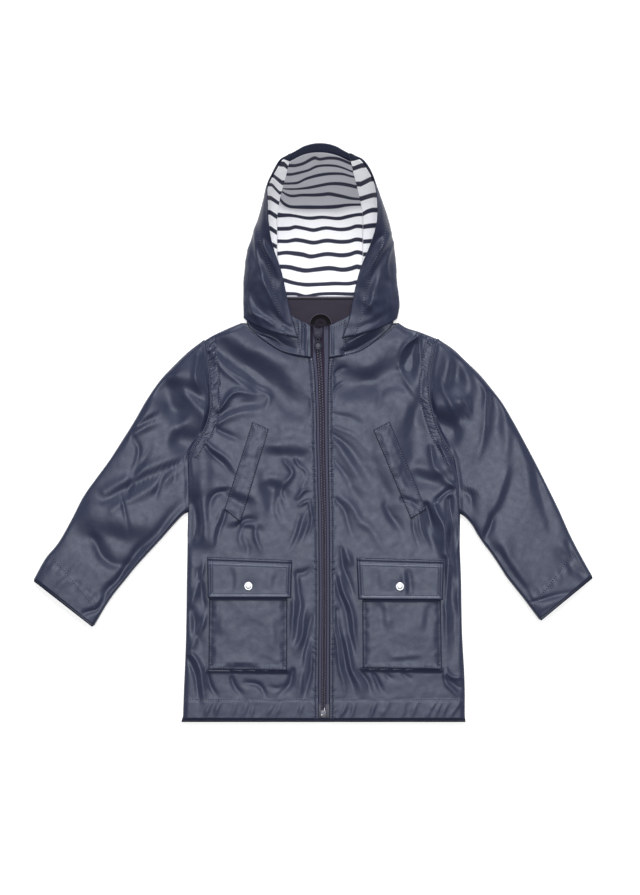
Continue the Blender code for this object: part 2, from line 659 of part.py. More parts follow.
def build_chin_guard(collection):
    """A half-round scoop behind the top of the zip."""
    columns, rows = CHIN_GUARD["cells"]
    points = []
    for r in np.linspace(CHIN_GUARD["inner"], 1, rows + 1):
        angles = np.linspace(math.pi, 0, columns + 1)
        points.append(np.column_stack([
            CHIN_GUARD["half_width"] * r * np.cos(angles),
            CHIN_GUARD["y"] + CHIN_GUARD["height"] * r * np.sin(angles),
            np.full(columns + 1, CHIN_GUARD["low_z"] + CHIN_GUARD["rise"] * r**2),
        ]))
    cloth("chin_guard", np.array(points), THIN_WALL, "plum_jersey", collection)


# Pockets


def patch_plane(corners, shares):
    """Grid of (x, y) over a four-cornered patch, rows up from its lower edge."""
    top_left, top_right, low_right, low_left = (np.array(corner, float) for corner in corners)
    across, up = (np.array(part)[:, None] for part in shares)
    low = low_left + across * (low_right - low_left)
    top = top_left + across * (top_right - top_left)
    return low[None] + up[:, :, None] * (top - low)[None]


def highest_under(plane, on):
    """Highest point of the surface under a patch, and a little way round it."""
    steps = (-PATCH_REACH, 0, PATCH_REACH)
    return max(on(x + dx, y + dy) for x, y in plane.reshape(-1, 2) for dx in steps for dy in steps)


def build_welt(side, on_front, collection):
    plane = patch_plane(WELT[side], WELT_SHARES)
    steps = (-PATCH_REACH / 2, 0, PATCH_REACH / 2)
    rest = [[max(on_front(x + dx, y + dy) for dx in steps for dy in steps) for x, y in row] for row in plane]
    grid = np.dstack([plane, np.array(rest) + WALL + GAP])
    cloth(f"welt_{side}", grid, WALL, "coated_cloth", collection)


def build_pocket(side, base, collection):
    """A patch pocket: it stands off the front, and its rim comes down to where it is sewn."""
    plane = patch_plane(POCKET[side], POCKET_SHARES)
    height = np.full(plane.shape[:2], base + SEWN_RISE)
    height[1:-1, 1:-1] = base + POCKET_RISE
    cloth(f"pocket_{side}", np.dstack([plane, height]), WALL, "coated_cloth", collection)


def build_flap(side, base, collection):
    """A flap over the pocket's mouth. Its top edge comes down to the front."""
    plane = patch_plane(FLAP[side], FLAP_SHARES)
    height = np.full(plane.shape[:2], base + POCKET_RISE + FLAP_RISE)
    height[-1] = base + SEWN_RISE
    cloth(f"flap_{side}", np.dstack([plane, height]), WALL, "coated_cloth", collection)


def build_pockets(side, front, collection):
    """Welt, patch pocket, flap and snap on one front, each clear of what is under it."""
    on_front = surface_of(front.data)
    build_welt(side, on_front, collection)
    base = highest_under(patch_plane(POCKET[side], POCKET_SHARES), on_front)
    build_pocket(side, base, collection)
    build_flap(side, base, collection)
    x, y = SNAP[side]
    build_snap(side, (x, y, base + POCKET_RISE + FLAP_RISE + GAP), collection)


def build_snap(side, place, collection):
    mesh = bpy.data.meshes.new(f"snap_{side}")
    points = [(r * MM, 0, z * MM) for r, z in SNAP_PROFILE]
    mesh.from_pydata(points, [(i, i + 1) for i in range(len(points) - 1)], [])
    cap = add_object(f"snap_{side}", mesh, collection, "bright_metal")
    turn = cap.modifiers.new("turned", "SCREW")
    turn.steps = turn.render_steps = 16
    turn.use_merge_vertices = True
    turn.merge_threshold = 0.00001
    cap.location = Vector(place) * MM


# Zip


def strip(name, left, right, low_y, top_y, top_z, thick, finish, collection):
    """A flat strip between two lines that run down the coat. Every strip bends at the same heights."""
    rows = np.linspace(HEM_Y + TAPE["short_of_hem"], ZIP_LINE[0][1], TAPE["cells"] + 1)
    y = np.unique(np.clip(rows, low_y, top_y))
    edges = [np.column_stack([np.interp(y, rows, x_on(line, rows)), y, np.full(len(y), top_z)])
             for line in (left, right)]
    return cloth(name, np.stack(edges, axis=1), thick, finish, collection)


def x_on(line, y):
    """Where a line that runs down the coat is, at the given heights on the coat."""
    path = spline(line, FINE_STEPS)[::-1]
    return np.interp(y, path[:, 1], path[:, 0])


def shifted(line, by):
    return [(x + by, y) for x, y in line]


def build_zip(collection):
    half = CHAIN["width"] / 2
    top_y = ZIP_LINE[0][1]
    outer_left = [(EDGE_LEFT[0][0], top_y), *EDGE_LEFT]
    outer_right = [(EDGE_RIGHT[0][0], top_y), *EDGE_RIGHT]
    lap = TAPE["under_front"]
    flat = (TAPE["top_z"], TAPE["thick"], "zip_tape", collection)
    low_y = HEM_Y + TAPE["short_of_hem"]
    strip("zip_tape_left", shifted(outer_left, -lap), shifted(ZIP_LINE, -half - GAP), low_y, top_y, *flat)
    strip("zip_tape_right", shifted(ZIP_LINE, half + GAP), shifted(outer_right, lap), low_y, top_y, *flat)
    box_top = ZIP_BOX["y"] + ZIP_BOX["length"] / 2 + GAP
    strip("zip_chain", shifted(ZIP_LINE, -half), shifted(ZIP_LINE, half), box_top, CHAIN["top_y"],
          CHAIN["top_z"], CHAIN["thick"], "zip_moulding", collection)


def box(name, centre, size, collection, finish=None):
    mesh = bpy.data.meshes.new(name)
    bm = bmesh.new()
    bmesh.ops.create_cube(bm, size=1)
    bmesh.ops.scale(bm, vec=Vector(size) * MM, verts=bm.verts)
    bmesh.ops.translate(bm, vec=Vector(centre) * MM, verts=bm.verts)
    bm.to_mesh(mesh)
    bm.free()
    return add_object(name, mesh, collection, finish)


def cylinder(name, centre, radius, depth, collection, along_x=False, sides=24):
    mesh = bpy.data.meshes.new(name)
    bm = bmesh.new()
    bmesh.ops.create_cone(bm, cap_ends=True, segments=sides, radius1=radius * MM, radius2=radius * MM,
                          depth=depth * MM)
    if along_x:
        bmesh.ops.transform(bm, matrix=Vector((0, 0, 1)).rotation_difference(Vector((1, 0, 0))).to_matrix(),
                            verts=bm.verts)
    bmesh.ops.translate(bm, vec=Vector(centre) * MM, verts=bm.verts)
    bm.to_mesh(mesh)
    bm.free()
    return add_object(name, mesh, collection)


def joined(base, others, operation, helpers):
    """Boolean modifiers that add the other objects to the base, or cut them from it."""
    for other in others:
        step = base.modifiers.new(other.name, "BOOLEAN")
        step.operation = operation
        step.object = other
        step.solver = "EXACT"
        other.hide_render = True
        other.display_type = "WIRE"
        for old in list(other.users_collection):
            old.objects.unlink(other)
        helpers.objects.link(other)


def build_slider(collection, helpers):
    """Two plates on a post, and the bridge that the pull tab swings in."""
    x = float(x_on(ZIP_LINE, SLIDER["y"]))
    plate = SLIDER["plate"]
    plates = (SLIDER["width"], SLIDER["length"], plate)
    slider = box("zip_slider", (x, SLIDER["y"], SLIDER["top_z"] - plate / 2), plates, collection, "dark_metal")
    low = box("slider_low_plate", (x, SLIDER["y"], SLIDER["low_z"] + plate / 2), plates, helpers)
    inner = plate / 2
    post_low = SLIDER["low_z"] + inner
    post_high = SLIDER["top_z"] - inner
    post = box("slider_post", (x, SLIDER_POST["y"], (post_low + post_high) / 2),
               (SLIDER_POST["width"], SLIDER_POST["length"], post_high - post_low), helpers)
    bridge_low = SLIDER["top_z"] - inner
    bridge = box("slider_bridge", (x, BRIDGE["y"], (bridge_low + BRIDGE["top_z"]) / 2),
                 (BRIDGE["width"], BRIDGE["length"], BRIDGE["top_z"] - bridge_low), helpers)
    joined(slider, [low, post, bridge], "UNION", helpers)
    slot = box("slider_slot", (x, BRIDGE["y"], (SLIDER["top_z"] + BRIDGE["slot_top_z"]) / 2),
               (BRIDGE["width"] * 2, BRIDGE["slot_length"], BRIDGE["slot_top_z"] - SLIDER["top_z"]), helpers)
    joined(slider, [slot], "DIFFERENCE", helpers)


def build_pull(collection, helpers):
    """The pull tab: a bar through the bridge, two arms and a disc. Its origin is on the bar."""
    x = float(x_on(ZIP_LINE, SLIDER["y"]))
    arm_x = PULL["half_bar"] - PULL["arm"] / 2
    arm_low = PULL["disc_y"] + PULL["disc_radius"] - PULL["arm_lap"]
    arm_high = BRIDGE["y"] + PULL["bar_radius"]
    arms = [
        box(f"pull_arm_{side}", (x + sign * arm_x, (arm_low + arm_high) / 2, PULL["axis_z"]),
            (PULL["arm"], arm_high - arm_low, PULL["thick"]), helpers)
        for side, sign in (("left", -1), ("right", 1))
    ]
    bar_long = 2 * (PULL["half_bar"] - PULL["bar_short"])
    bar = cylinder("pull_bar", (x, BRIDGE["y"], PULL["axis_z"]), PULL["bar_radius"], bar_long,
                   helpers, along_x=True, sides=12)
    disc = cylinder("zip_pull", (x, PULL["disc_y"], PULL["axis_z"]), PULL["disc_radius"], PULL["disc_thick"],
                    collection)
    disc.data.materials.append(material("dark_metal"))
    joined(disc, [*arms, bar], "UNION", helpers)
    top = PULL["axis_z"] + PULL["disc_thick"] / 2
    dish = cylinder("pull_dish", (x, PULL["disc_y"], top), PULL["disc_radius"] - PULL["rim"],
                    2 * PULL["dish_depth"], helpers)
    joined(disc, [dish], "DIFFERENCE", helpers)


def build_zip_box(collection, helpers):
    """The box and pin at the foot of the zip: a wide head over the tapes, on a narrow neck."""
    x = float(x_on(ZIP_LINE, ZIP_BOX["y"]))
    high = ZIP_BOX["top_z"] - ZIP_BOX["step_z"]
    head = box("zip_box", (x, ZIP_BOX["y"], ZIP_BOX["step_z"] + high / 2),
               (ZIP_BOX["width"], ZIP_BOX["length"], high), collection, "bright_metal")
    tall = ZIP_BOX["step_z"] + high / 2 - ZIP_BOX["low_z"]
    neck = box("box_neck", (x, ZIP_BOX["y"], ZIP_BOX["low_z"] + tall / 2),
               (ZIP_BOX["neck"], ZIP_BOX["length"] - 1, tall), helpers)
    joined(head, [neck], "UNION", helpers)


def main():
    clear_scene()
    coat = new_collection("raincoat")
    helpers = new_collection("cutters")
    build_back(coat)
    for side in ("left", "right"):
        front = build_front(side, coat)
        build_sleeve(side, coat)
        build_pockets(side, front, coat)
    build_hood(coat)
    build_collar(coat)
    build_facing(coat)
    build_chin_guard(coat)
    build_zip(coat)
    build_slider(coat, helpers)
    build_pull(coat, helpers)
    build_zip_box(coat, helpers)


main()
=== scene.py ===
import math

import bmesh
import bpy
import numpy as np
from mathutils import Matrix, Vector, noise
from mathutils.bvhtree import BVHTree


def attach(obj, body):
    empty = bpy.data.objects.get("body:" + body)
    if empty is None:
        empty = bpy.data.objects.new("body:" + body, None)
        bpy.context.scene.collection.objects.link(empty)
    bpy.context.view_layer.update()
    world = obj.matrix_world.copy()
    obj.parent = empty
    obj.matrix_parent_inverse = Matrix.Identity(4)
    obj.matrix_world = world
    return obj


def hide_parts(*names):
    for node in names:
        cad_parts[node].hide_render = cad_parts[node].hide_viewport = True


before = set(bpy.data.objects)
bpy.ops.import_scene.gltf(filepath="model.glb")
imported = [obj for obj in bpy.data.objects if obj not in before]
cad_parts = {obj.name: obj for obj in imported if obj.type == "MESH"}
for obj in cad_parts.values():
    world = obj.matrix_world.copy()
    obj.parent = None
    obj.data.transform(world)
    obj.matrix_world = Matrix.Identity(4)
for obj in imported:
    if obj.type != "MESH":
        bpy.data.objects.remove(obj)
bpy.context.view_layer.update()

# Lengths are millimetres in every table, and metres in the meshes. Left and right are as seen from above.
mm = 0.001
sides = {"left": -1, "right": 1}

cloth = {"wall": 1.2, "lining": 0.8, "jersey": 0.9, "waver": 2.2, "waverSize": 34, "ease": 1.04}

# Where the noise of each part is read, so that no two sides are alike
seeds = {
    "frontFold": {"left": 3.0, "right": 17.0}, "frontCrumple": {"left": 40.0, "right": 70.0},
    "armPucker": {"left": 5.0, "right": 8.0}, "sleeveFold": {"left": 29.0, "right": 53.0},
    "sleeveCrumple": {"left": 90.0, "right": 130.0}, "pocket": {"left": 11.0, "right": 23.0},
    "flap": {"left": 31.0, "right": 43.0}, "hoodFold": {"left": 180.0, "right": 210.0},
    "hoodCrumple": {"left": 190.0, "right": 220.0}, "frontTilt": 6.0, "sleeveTilt": 8.0, "patchTilt": 7.0,
    "zipPucker": 12.0, "hemLean": 14.0, "hemRipple": 15.0, "backHem": 5.0, "welt": 60.0, "hoodCentre": 150.0,
    "lining": 160.0, "liningSide": 230.0, "collarFold": 240.0, "collarCrumple": 245.0, "facing": 250.0,
}

body = {
    "hem": -376, "backHem": -380.8, "backHemX": (-194.2, 203.8), "backNeckY": 173.6, "shoulderY": 177.8,
    "loft": 6.5, "edgeTop": 3.2, "lowest": 3.0, "roll": 9, "zipEdge": 7.2, "zipFade": 8, "seamRise": 0.9,
    "armFade": 10, "hemRise": 0.5,
    "cells": {"across": 120, "side": 168, "armhole": 110, "neckPart": 0.66, "finer": (2.2, 1.2),
              "within": (0.07, 0.12)},
}

zipLine = [(-2.8, 176), (-2.5, 150), (0.2, 112), (2.2, 56), (3.0, 0), (3.9, -42), (5.3, -98), (6.1, -210),
           (5.0, -322), (4.6, -376)]
frontEdge = {
    "left": [(-10.0, 128.6), (-7.4, 108), (-5.2, 56), (-4.1, 0), (-3.1, -42), (-1.6, -98), (-0.8, -210),
             (-1.8, -322), (-1.6, -376)],
    "right": [(12.8, 128.6), (11.6, 108), (11.0, 56), (11.3, 0), (12.0, -42), (12.8, -98), (13.4, -210),
              (13.1, -322), (13.0, -376)],
}
neckHalf = [(33, 132), (56, 138.5), (80, 154), (97, 166.5), (110, 177.8)]
shoulder = {
    "left": [(-110, 177.8), (-127, 170.8), (-148, 161.1), (-161, 153.3)],
    "right": [(110, 177.8), (122, 170.5), (139, 165.2), (163.8, 155.4)],
}
armhole = {
    "left": [(-161, 153.3), (-159, 129), (-156, 105), (-154.7, 81), (-154.7, 59), (-159, 39),
             (-166.6, 22.4), (-177.8, 7), (-185.8, -8.4)],
    "right": [(163.8, 155.4), (160.3, 137), (155.4, 112), (154, 81), (157.5, 59), (163.8, 37),
              (171.8, 19), (180.6, 3), (188.8, -12)],
}
sideSeam = {
    "left": [(-185.8, -8.4), (-184.8, -42), (-184.2, -84), (-185.2, -126), (-186.2, -182),
             (-187.6, -266), (-190.4, -336), (-191.8, -376)],
    "right": [(188.8, -12), (191.1, -24), (194.4, -42), (196, -87), (195.6, -133), (197.4, -182),
              (198.8, -255), (202.3, -322), (202.7, -376)],
}

# Creases: a bent line from (x0, y0) by (xm, ym) to (x1, y1), how far it reaches to each side, its height
# (below 0 a trough), how sharp its crest is, and how much of its height it has where it starts
foldColumns = ("x0", "y0", "xm", "ym", "x1", "y1", "reach", "height", "crease", "root")
folds = {
    "front_left": [
        (-155, 144, -122, 110, -86, 88, 7, 2.8, 0.5, 0.35),
        (-86, 88, -72, 74, -76, 54, 5, 1.4, 0.4, 0.3),
        (-146, 128, -118, 96, -84, 80, 5, 1.6, 0.5, 0.2),
        (-140, 55, -120, 78, -81, 80, 5, 2.6, 0.5, 0.3),
        (-137, 50, -112, 66, -70, 67, 8, -1.4, 0.1, 0.2),
        (-143, 36, -118, 50, -84, 59, 6, 2, 0.4, 0.4),
        (-144, 28, -126, 22, -109, 14, 5, -1.6, 0.3, 0.3),
        (-160, 10, -137, -7, -115, -32, 5, 1.8, 0.4, 0.3),
        (-160, 5, -144, -12, -122, -33, 3.5, -1.5, 0.4, 0.3),
        (-165, -3, -164, -36, -168, -67, 12, 3, 0, 0.2),
        (-128, -56, -150, -66, -156, -110, 6, -2.4, 0.4, 0.3),
        (-179, -77, -174, -105, -178, -133, 10, -2.6, 0.1, 0.2),
        (-50, -14, -39, -32, -50, -52, 4, 1.8, 0.5, 0.2),
        (-50, -52, -54, -64, -48, -80, 4, 1.4, 0.4, 0.2),
        (-34, -14, -21, -34, -25, -57, 4, 2.2, 0.6, 0.3),
        (-29, -20, -21, -36, -24, -48, 3, -1.6, 0.5, 0.2),
        (-52, -48, -60, -74, -55, -101, 5, 1.4, 0.3, 0.2),
        (-32, -67, -22, -56, -11, -53, 3, 1.6, 0.4, 0.2),
        (-28, -77, -18, -71, -11, -70, 3, 1.3, 0.4, 0.2),
        (-15, -74, -11, -98, -18, -120, 3, 1.5, 0.4, 0.2),
        (-11, -95, -20, -113, -29, -136, 3.5, -0.9, 0.5, 0.3),
        (-17, -85, -28, -109, -41, -140, 4, 1.0, 0.4, 0.2),
        (-27, -94, -36, -115, -45, -137, 4, -0.9, 0.3, 0.2),
        (-132, -87, -139, -109, -148, -134, 3.5, -1.4, 0.5, 0.4),
        (-137, -87, -146, -111, -153, -139, 4, 1.0, 0.4, 0.3),
        (-113, -105, -104, -98, -87, -95, 5, -2.6, 0.3, 0.3),
        (-106, -106, -109, -126, -104, -146, 4, 0.8, 0.3, 0.3),
        (-90, -108, -87, -127, -81, -146, 4, 1.5, 0.4, 0.3),
        (-170, -170, -167, -194, -161, -222, 6, -2.4, 0.3, 0.2),
        (-160, -158, -168, -184, -180, -216, 5, 1.9, 0.4, 0.2),
        (-178, -222, -173, -248, -166, -276, 6, -2.2, 0.3, 0.2),
        (-159, -226, -166, -250, -181, -282, 5, 1.8, 0.4, 0.2),
        (-186, -291, -172, -319, -171, -353, 4, -1.6, 0.4, 0.3),
        (-181, -287, -164, -314, -162, -353, 4.5, 2, 0.3, 0.3),
        (-158, -309, -150, -329, -143, -347, 3.5, -2.1, 0.5, 0.3),
        (-120, -318, -115, -333, -106, -346, 4, -1.5, 0.3, 0.3),
        (-102, -325, -87, -328, -77, -346, 4, -1.7, 0.3, 0.2),
        (-39, -309, -43, -330, -57, -347, 5, -2.1, 0.3, 0.3),
        (-69, -330, -59, -333, -50, -330, 4, -0.9, 0.2, 0.2),
        (-34, -176, -28, -218, -35, -269, 4, -1.6, 0.4, 0.2),
        (-41, -182, -38, -224, -42, -272, 4, 1.6, 0.3, 0.2),
        (-24, -225, -25, -252, -34, -283, 5, 1.9, 0.3, 0.2),
        (-11, -234, -21, -267, -25, -339, 4.5, -1.4, 0.5, 0.2),
        (-8, -280, -15, -316, -24, -349, 4, -1.5, 0.4, 0.2),
        (-17, -266, -24, -308, -31, -346, 4, 1.5, 0.3, 0.2),
        (-35, -172, -24, -172, -10, -164, 5, -1.5, 0.2, 0.2),
        (-105, -154, -101, -133, -104, -119, 4, -0.8, 0.3, 0.2),
    ],
    "front_right": [
        (136, 160, 118, 143, 108, 116, 5, 3, 0.5, 0.45),
        (109, 116, 123, 91, 144, 71, 5, 1.0, 0.3, 0.3),
        (132, 146, 123, 118, 134, 90, 9, -2.6, 0.1, 0.3),
        (137, 158, 139, 140, 140, 118, 4, 2, 0.4, 0.45),
        (104, 91, 86, 84, 80, 50, 6, -0.9, 0.1, 0.1),
        (106, 91, 126, 82, 131, 40, 7, -1.3, 0.1, 0.1),
        (18, 108, 27, 115, 36, 115, 2.5, -1.2, 0.4, 0.3),
        (18, 80, 27, 90, 35, 94, 2.5, -1.3, 0.4, 0.3),
        (20, 50, 39, 45, 60, 34, 5, -0.7, 0.3, 0.4),
        (18, 34, 42, 22, 74, -8, 5, 0.8, 0.3, 0.4),
        (20, 20, 45, -3, 78, -52, 6, -1.3, 0.2, 0.45),
        (24, 8, 48, -24, 72, -70, 7, 1.2, 0.2, 0.4),
        (21, -14, 44, -48, 66, -92, 6, -0.9, 0.2, 0.4),
        (74, -20, 96, -70, 118, -128, 9, -1.1, 0.1, 0.2),
        (21, -69, 39, -99, 57, -140, 5, -1.0, 0.2, 0.3),
        (28, -62, 53, -90, 90, -137, 6, 1.2, 0.2, 0.2),
        (90, -76, 101, -95, 113, -116, 5, -1.9, 0.3, 0.2),
        (156, 4, 160, -22, 180, -44, 5, 2.2, 0.4, 0.4),
        (174, -43, 186, -50, 195, -62, 5, 2, 0.2, 0.2),
        (169, 8, 176, -14, 192, -39, 4.5, 2, 0.3, 0.4),
        (164, -69, 179, -57, 195, -53, 5, -2.4, 0.3, 0.3),
        (150, -76, 158, -99, 168, -129, 5, -3.6, 0.4, 0.4),
        (161, -76, 172, -105, 178, -137, 4, 2.6, 0.3, 0.2),
        (181, -70, 183, -120, 190, -174, 6.5, -4, 0.3, 0.3),
        (193, -70, 193, -112, 195, -157, 3, 1.6, 0.3, 0.2),
        (115, -70, 127, -74, 143, -85, 4, -1.8, 0.4, 0.3),
        (128, -98, 133, -118, 140, -139, 3.5, -1.0, 0.4, 0.3),
        (138, -91, 144, -113, 154, -141, 4, 1.5, 0.4, 0.3),
        (29, -139, 35, -171, 52, -210, 4, -1.6, 0.5, 0.2),
        (36, -141, 41, -154, 46, -162, 6, 2, 0.2, 0.2),
        (18, -171, 36, -231, 49, -290, 4.5, -1.7, 0.4, 0.2),
        (28, -179, 42, -230, 53, -280, 4, 2, 0.4, 0.2),
        (24, -224, 32, -281, 48, -343, 4.5, -1.8, 0.5, 0.2),
        (20, -235, 25, -288, 35, -342, 4, 1.6, 0.3, 0.2),
        (36, -263, 45, -308, 60, -342, 5, 2.1, 0.3, 0.2),
        (57, -309, 64, -325, 73, -342, 3.5, -1.6, 0.5, 0.3),
        (73, -314, 81, -328, 91, -342, 3.5, -1.8, 0.5, 0.3),
        (90, -311, 98, -318, 108, -322, 3, -1.1, 0.4, 0.3),
        (118, -314, 125, -319, 132, -323, 3, -1, 0.4, 0.3),
        (174, -304, 185, -318, 202, -318, 3, 1.7, 0.5, 0.3),
        (176, -318, 188, -332, 202, -335, 4, -1.6, 0.3, 0.2),
        (174, -309, 178, -328, 192, -346, 3, 1.8, 0.5, 0.3),
        (181, -165, 188, -224, 185, -291, 6, -1.3, 0.3, 0.2),
        (195, -157, 196, -210, 197, -269, 3, 1.4, 0.2, 0.2),
        (176, -154, 176, -224, 174, -283, 4, 1.6, 0.3, 0.2),
    ],
    "sleeve_left": [
        (-188, 77, -176, 67, -161, 55, 6, 2.8, 0.2, 0.3),
        (-171, 132, -174, 102, -157, 71, 6, 3, 0.3, 0.3),
        (-259, 28, -242, 41, -223, 52, 3.5, -2.2, 0.6, 0.2),
        (-263, 22, -244, 32, -218, 43, 5, 1.6, 0.3, 0.2),
        (-260, 20, -253, 0, -270, -53, 4, -1.6, 0.4, 0.2),
        (-305, -71, -241, -38, -179, -8, 4, -1.8, 0.4, 0.2),
        (-300, -59, -238, -24, -182, 1, 6, 1.8, 0.2, 0.2),
        (-291, -83, -235, -53, -183, -18, 6, 2, 0.3, 0.2),
        (-270, -62, -255, -28, -234, 6, 3.5, -1.5, 0.5, 0.2),
        (-232, -63, -216, -34, -183, -15, 4, -2.2, 0.5, 0.2),
        (-207, -39, -196, -34, -183, -28, 4, -1.6, 0.4, 0.3),
        (-277, -67, -270, -90, -270, -112, 3, -1.2, 0.4, 0.3),
        (-319, -127, -294, -155, -253, -158, 7, -2.2, 0.2, 0.2),
        (-311, -118, -283, -137, -249, -134, 9, 1.6, 0, 0.2),
        (-300, -199, -244, -134, -186, -67, 6, -2.2, 0.2, 0.2),
        (-241, -141, -216, -113, -186, -80, 3, 1.5, 0.5, 0.3),
        (-329, -231, -308, -220, -291, -190, 4, -2.6, 0.5, 0.2),
        (-291, -190, -274, -169, -255, -157, 5, -2.2, 0.4, 0.2),
        (-228, 81, -249, 45, -283, -3, 12, 2, 0, 0.2),
        (-370, -196, -339, -154, -319, -126, 6, 1.1, 0.3, 0.2),
        (-361, -175, -342, -157, -325, -133, 4, -0.9, 0.4, 0.2),
        (-207, 28, -193, 36, -179, 42, 4, 1.5, 0.4, 0.3),
    ],
    "sleeve_right": [
        (169, 91, 179, 70, 192, 49, 3.5, 2.6, 0.6, 0.3),
        (190, 63, 199, 45, 214, 42, 5, -2.5, 0.4, 0.2),
        (189, 69, 206, 67, 214, 46, 4, 2.3, 0.5, 0.2),
        (190, 132, 206, 101, 210, 67, 9, 2.8, 0.1, 0.3),
        (210, 120, 232, 78, 230, 32, 4, 2.5, 0.5, 0.2),
        (230, 36, 226, 6, 212, -20, 5, 1.3, 0.2, 0.2),
        (240, 92, 248, 56, 246, 4, 9, -1.6, 0.1, 0.2),
        (258, 67, 262, 28, 254, -24, 8, 1.3, 0.1, 0.2),
        (262, -28, 244, -76, 226, -122, 5, 1.4, 0.2, 0.2),
        (272, 31, 288, -20, 294, -90, 8, 1.2, 0.1, 0.2),
        (242, -90, 237, -109, 228, -129, 5, -2.6, 0.4, 0.2),
        (249, -139, 272, -175, 295, -213, 5, -1.6, 0.3, 0.2),
        (347, -130, 360, -157, 375, -178, 7, -2.2, 0.2, 0.3),
        (293, -214, 319, -207, 360, -196, 3, -1.4, 0.5, 0.3),
        (300, -228, 319, -216, 344, -206, 5, 0.8, 0.2, 0.2),
        (197, -55, 210, -63, 214, -80, 5, -1.8, 0.3, 0.2),
        (199, -50, 216, -53, 227, -64, 4, 1.3, 0.4, 0.2),
        (301, -28, 312, -70, 330, -119, 8, -1.4, 0.1, 0.2),
    ],
    "hood_side_left": [
        (-90, 314, -87, 280, -85, 242, 3, 1.5, 0.5, 0.2),
        (-77, 286, -66, 260, -52, 234, 3.5, 2, 0.5, 0.2),
        (-74, 293, -60, 269, -55, 249, 3, -1.6, 0.4, 0.2),
        (-83, 283, -77, 252, -63, 227, 4, -2, 0.3, 0.2),
        (-83, 237, -70, 214, -46, 179, 4, 2.2, 0.4, 0.2),
        (-95, 217, -81, 197, -57, 174, 4, -2.8, 0.5, 0.2),
        (-99, 210, -90, 188, -81, 174, 4, 1.8, 0.3, 0.2),
        (-71, 197, -56, 183, -39, 167, 3.5, -2.4, 0.5, 0.2),
        (-104, 199, -81, 185, -49, 168, 3, 1.4, 0.5, 0.2),
        (-101, 294, -99, 252, -102, 210, 7, 1.6, 0, 0.2),
    ],
    "hood_side_right": [
        (95, 302, 81, 269, 62, 238, 5, 2.4, 0.4, 0.2),
        (81, 294, 67, 269, 53, 239, 4, -2.4, 0.3, 0.2),
        (99, 288, 95, 263, 97, 237, 3, 1.5, 0.5, 0.2),
        (63, 193, 70, 204, 83, 210, 2.5, 1.6, 0.5, 0.2),
        (56, 210, 67, 203, 77, 192, 2.5, 1.4, 0.5, 0.2),
        (73, 216, 71, 204, 67, 190, 2.5, 1.2, 0.5, 0.2),
        (88, 269, 73, 235, 64, 216, 5, -1.6, 0.2, 0.2),
        (101, 224, 98, 210, 104, 193, 5, 1.4, 0.1, 0.2),
        (95, 193, 73, 179, 50, 168, 4, -1.6, 0.3, 0.2),
    ],
}

# Broad slopes: a line from (x0, y0) to (x1, y1), the half width of the slope, and how steeply it falls to the
# right of that line
tiltColumns = ("x0", "y0", "x1", "y1", "wide", "fall")
tilts = {
    "front_left": [
        (-150, 160, -32, 82, 23, 0.36),
        (-170, -64, -171, -136, 17, 0.48),
        (-137, -58, -95, -70, 9, 0.34),
        (-130, -104, -84, -107, 8, 0.32),
        (-78, 0, -14, -2, 12, 0.32),
        (-78, -44, -44, -52, 11, 0.30),
        (-14, 44, -60, 48, 20, 0.14),
        (-100, 138, -34, 112, 20, 0.16),
        (-70, -96, -84, -18, 19, 0.22),
        (-154, 54, -90, 68, 9, 0.18),
        (-138, 66, -170, 118, 14, 0.16),
        (-126, -38, -176, -36, 22, 0.17),
    ],
    "front_right": [
        (4, 118, 80, 104, 20, 0.22),
        (60, 103, 134, 142, 21, 0.27),
        (88, 76, 20, 72, 20, 0.15),
        (118, -42, 112, 60, 30, 0.21),
        (34, 128, 124, 152, 20, 0.15),
        (126, -28, 172, -42, 13, 0.34),
        (150, -76, 166, -140, 10, 0.40),
        (189, -176, 188, -82, 13, 0.60),
        (186, -10, 160, -14, 14, 0.16),
        (122, 28, 150, 120, 13, 0.24),
    ],
    "sleeve_left": [
        (-228, 98, -160, 80, 24, 0.44),
        (-212, 72, -154, 38, 16, 0.52),
        (-198, 34, -156, 16, 22, 0.50),
        (-338, -104, -244, -122, 27, 0.24),
        (-246, 30, -206, 66, 16, 0.12),
    ],
    "sleeve_right": [
        (150, 52, 198, 40, 25, 0.56),
        (181, 82, 190, 138, 14, 0.46),
        (238, -122, 276, -190, 14, 0.24),
        (222, -126, 264, -28, 16, 0.15),
        (338, -136, 382, -178, 12, 0.28),
        (232, 20, 240, 110, 11, 0.16),
    ],
    "pocket_left": [
        (-130, -300, -90, -300, 7, 0.26),
        (-142, -230, -138, -262, 8, 0.14),
        (-60, -280, -64, -240, 8, 0.14),
    ],
    "pocket_right": [
        (86, -212, 92, -250, 8, 0.16),
        (146, -250, 150, -214, 9, 0.14),
        (100, -292, 140, -292, 6, 0.14),
    ],
    "flap_left": [
        (-122, -164, -120, -196, 7, 0.12),
        (-66, -194, -62, -166, 8, 0.12),
    ],
    "flap_right": [
        (122, -202, 118, -168, 6, 0.40),
        (84, -166, 86, -200, 8, 0.12),
    ],
}


# Lines and surfaces


def withEnds(rows):  # rows carried on by one more at each end
    table = np.array(rows, float)
    return np.vstack([2 * table[0] - table[1], table, 2 * table[-1] - table[-2]])


def curve(a, b, c, d, t):  # a smooth run from b to c, between the neighbours a and d
    return 0.5 * (2 * b + (c - a) * t + (2 * a - 5 * b + 4 * c - d) * t**2 + (3 * b - a - 3 * c + d) * t**3)


def smoothLine(points, count):  # count + 1 points, evenly spaced along a smooth curve through the given ones
    ends = withEnds(points)
    t = np.linspace(0, 1, 12, endpoint=False)[:, None]
    dense = np.vstack([*(curve(*four, t) for four in zip(ends, ends[1:], ends[2:], ends[3:])), ends[-2:-1]])
    return atLengths(dense, np.linspace(0, lengthAlong(dense)[-1], count + 1))


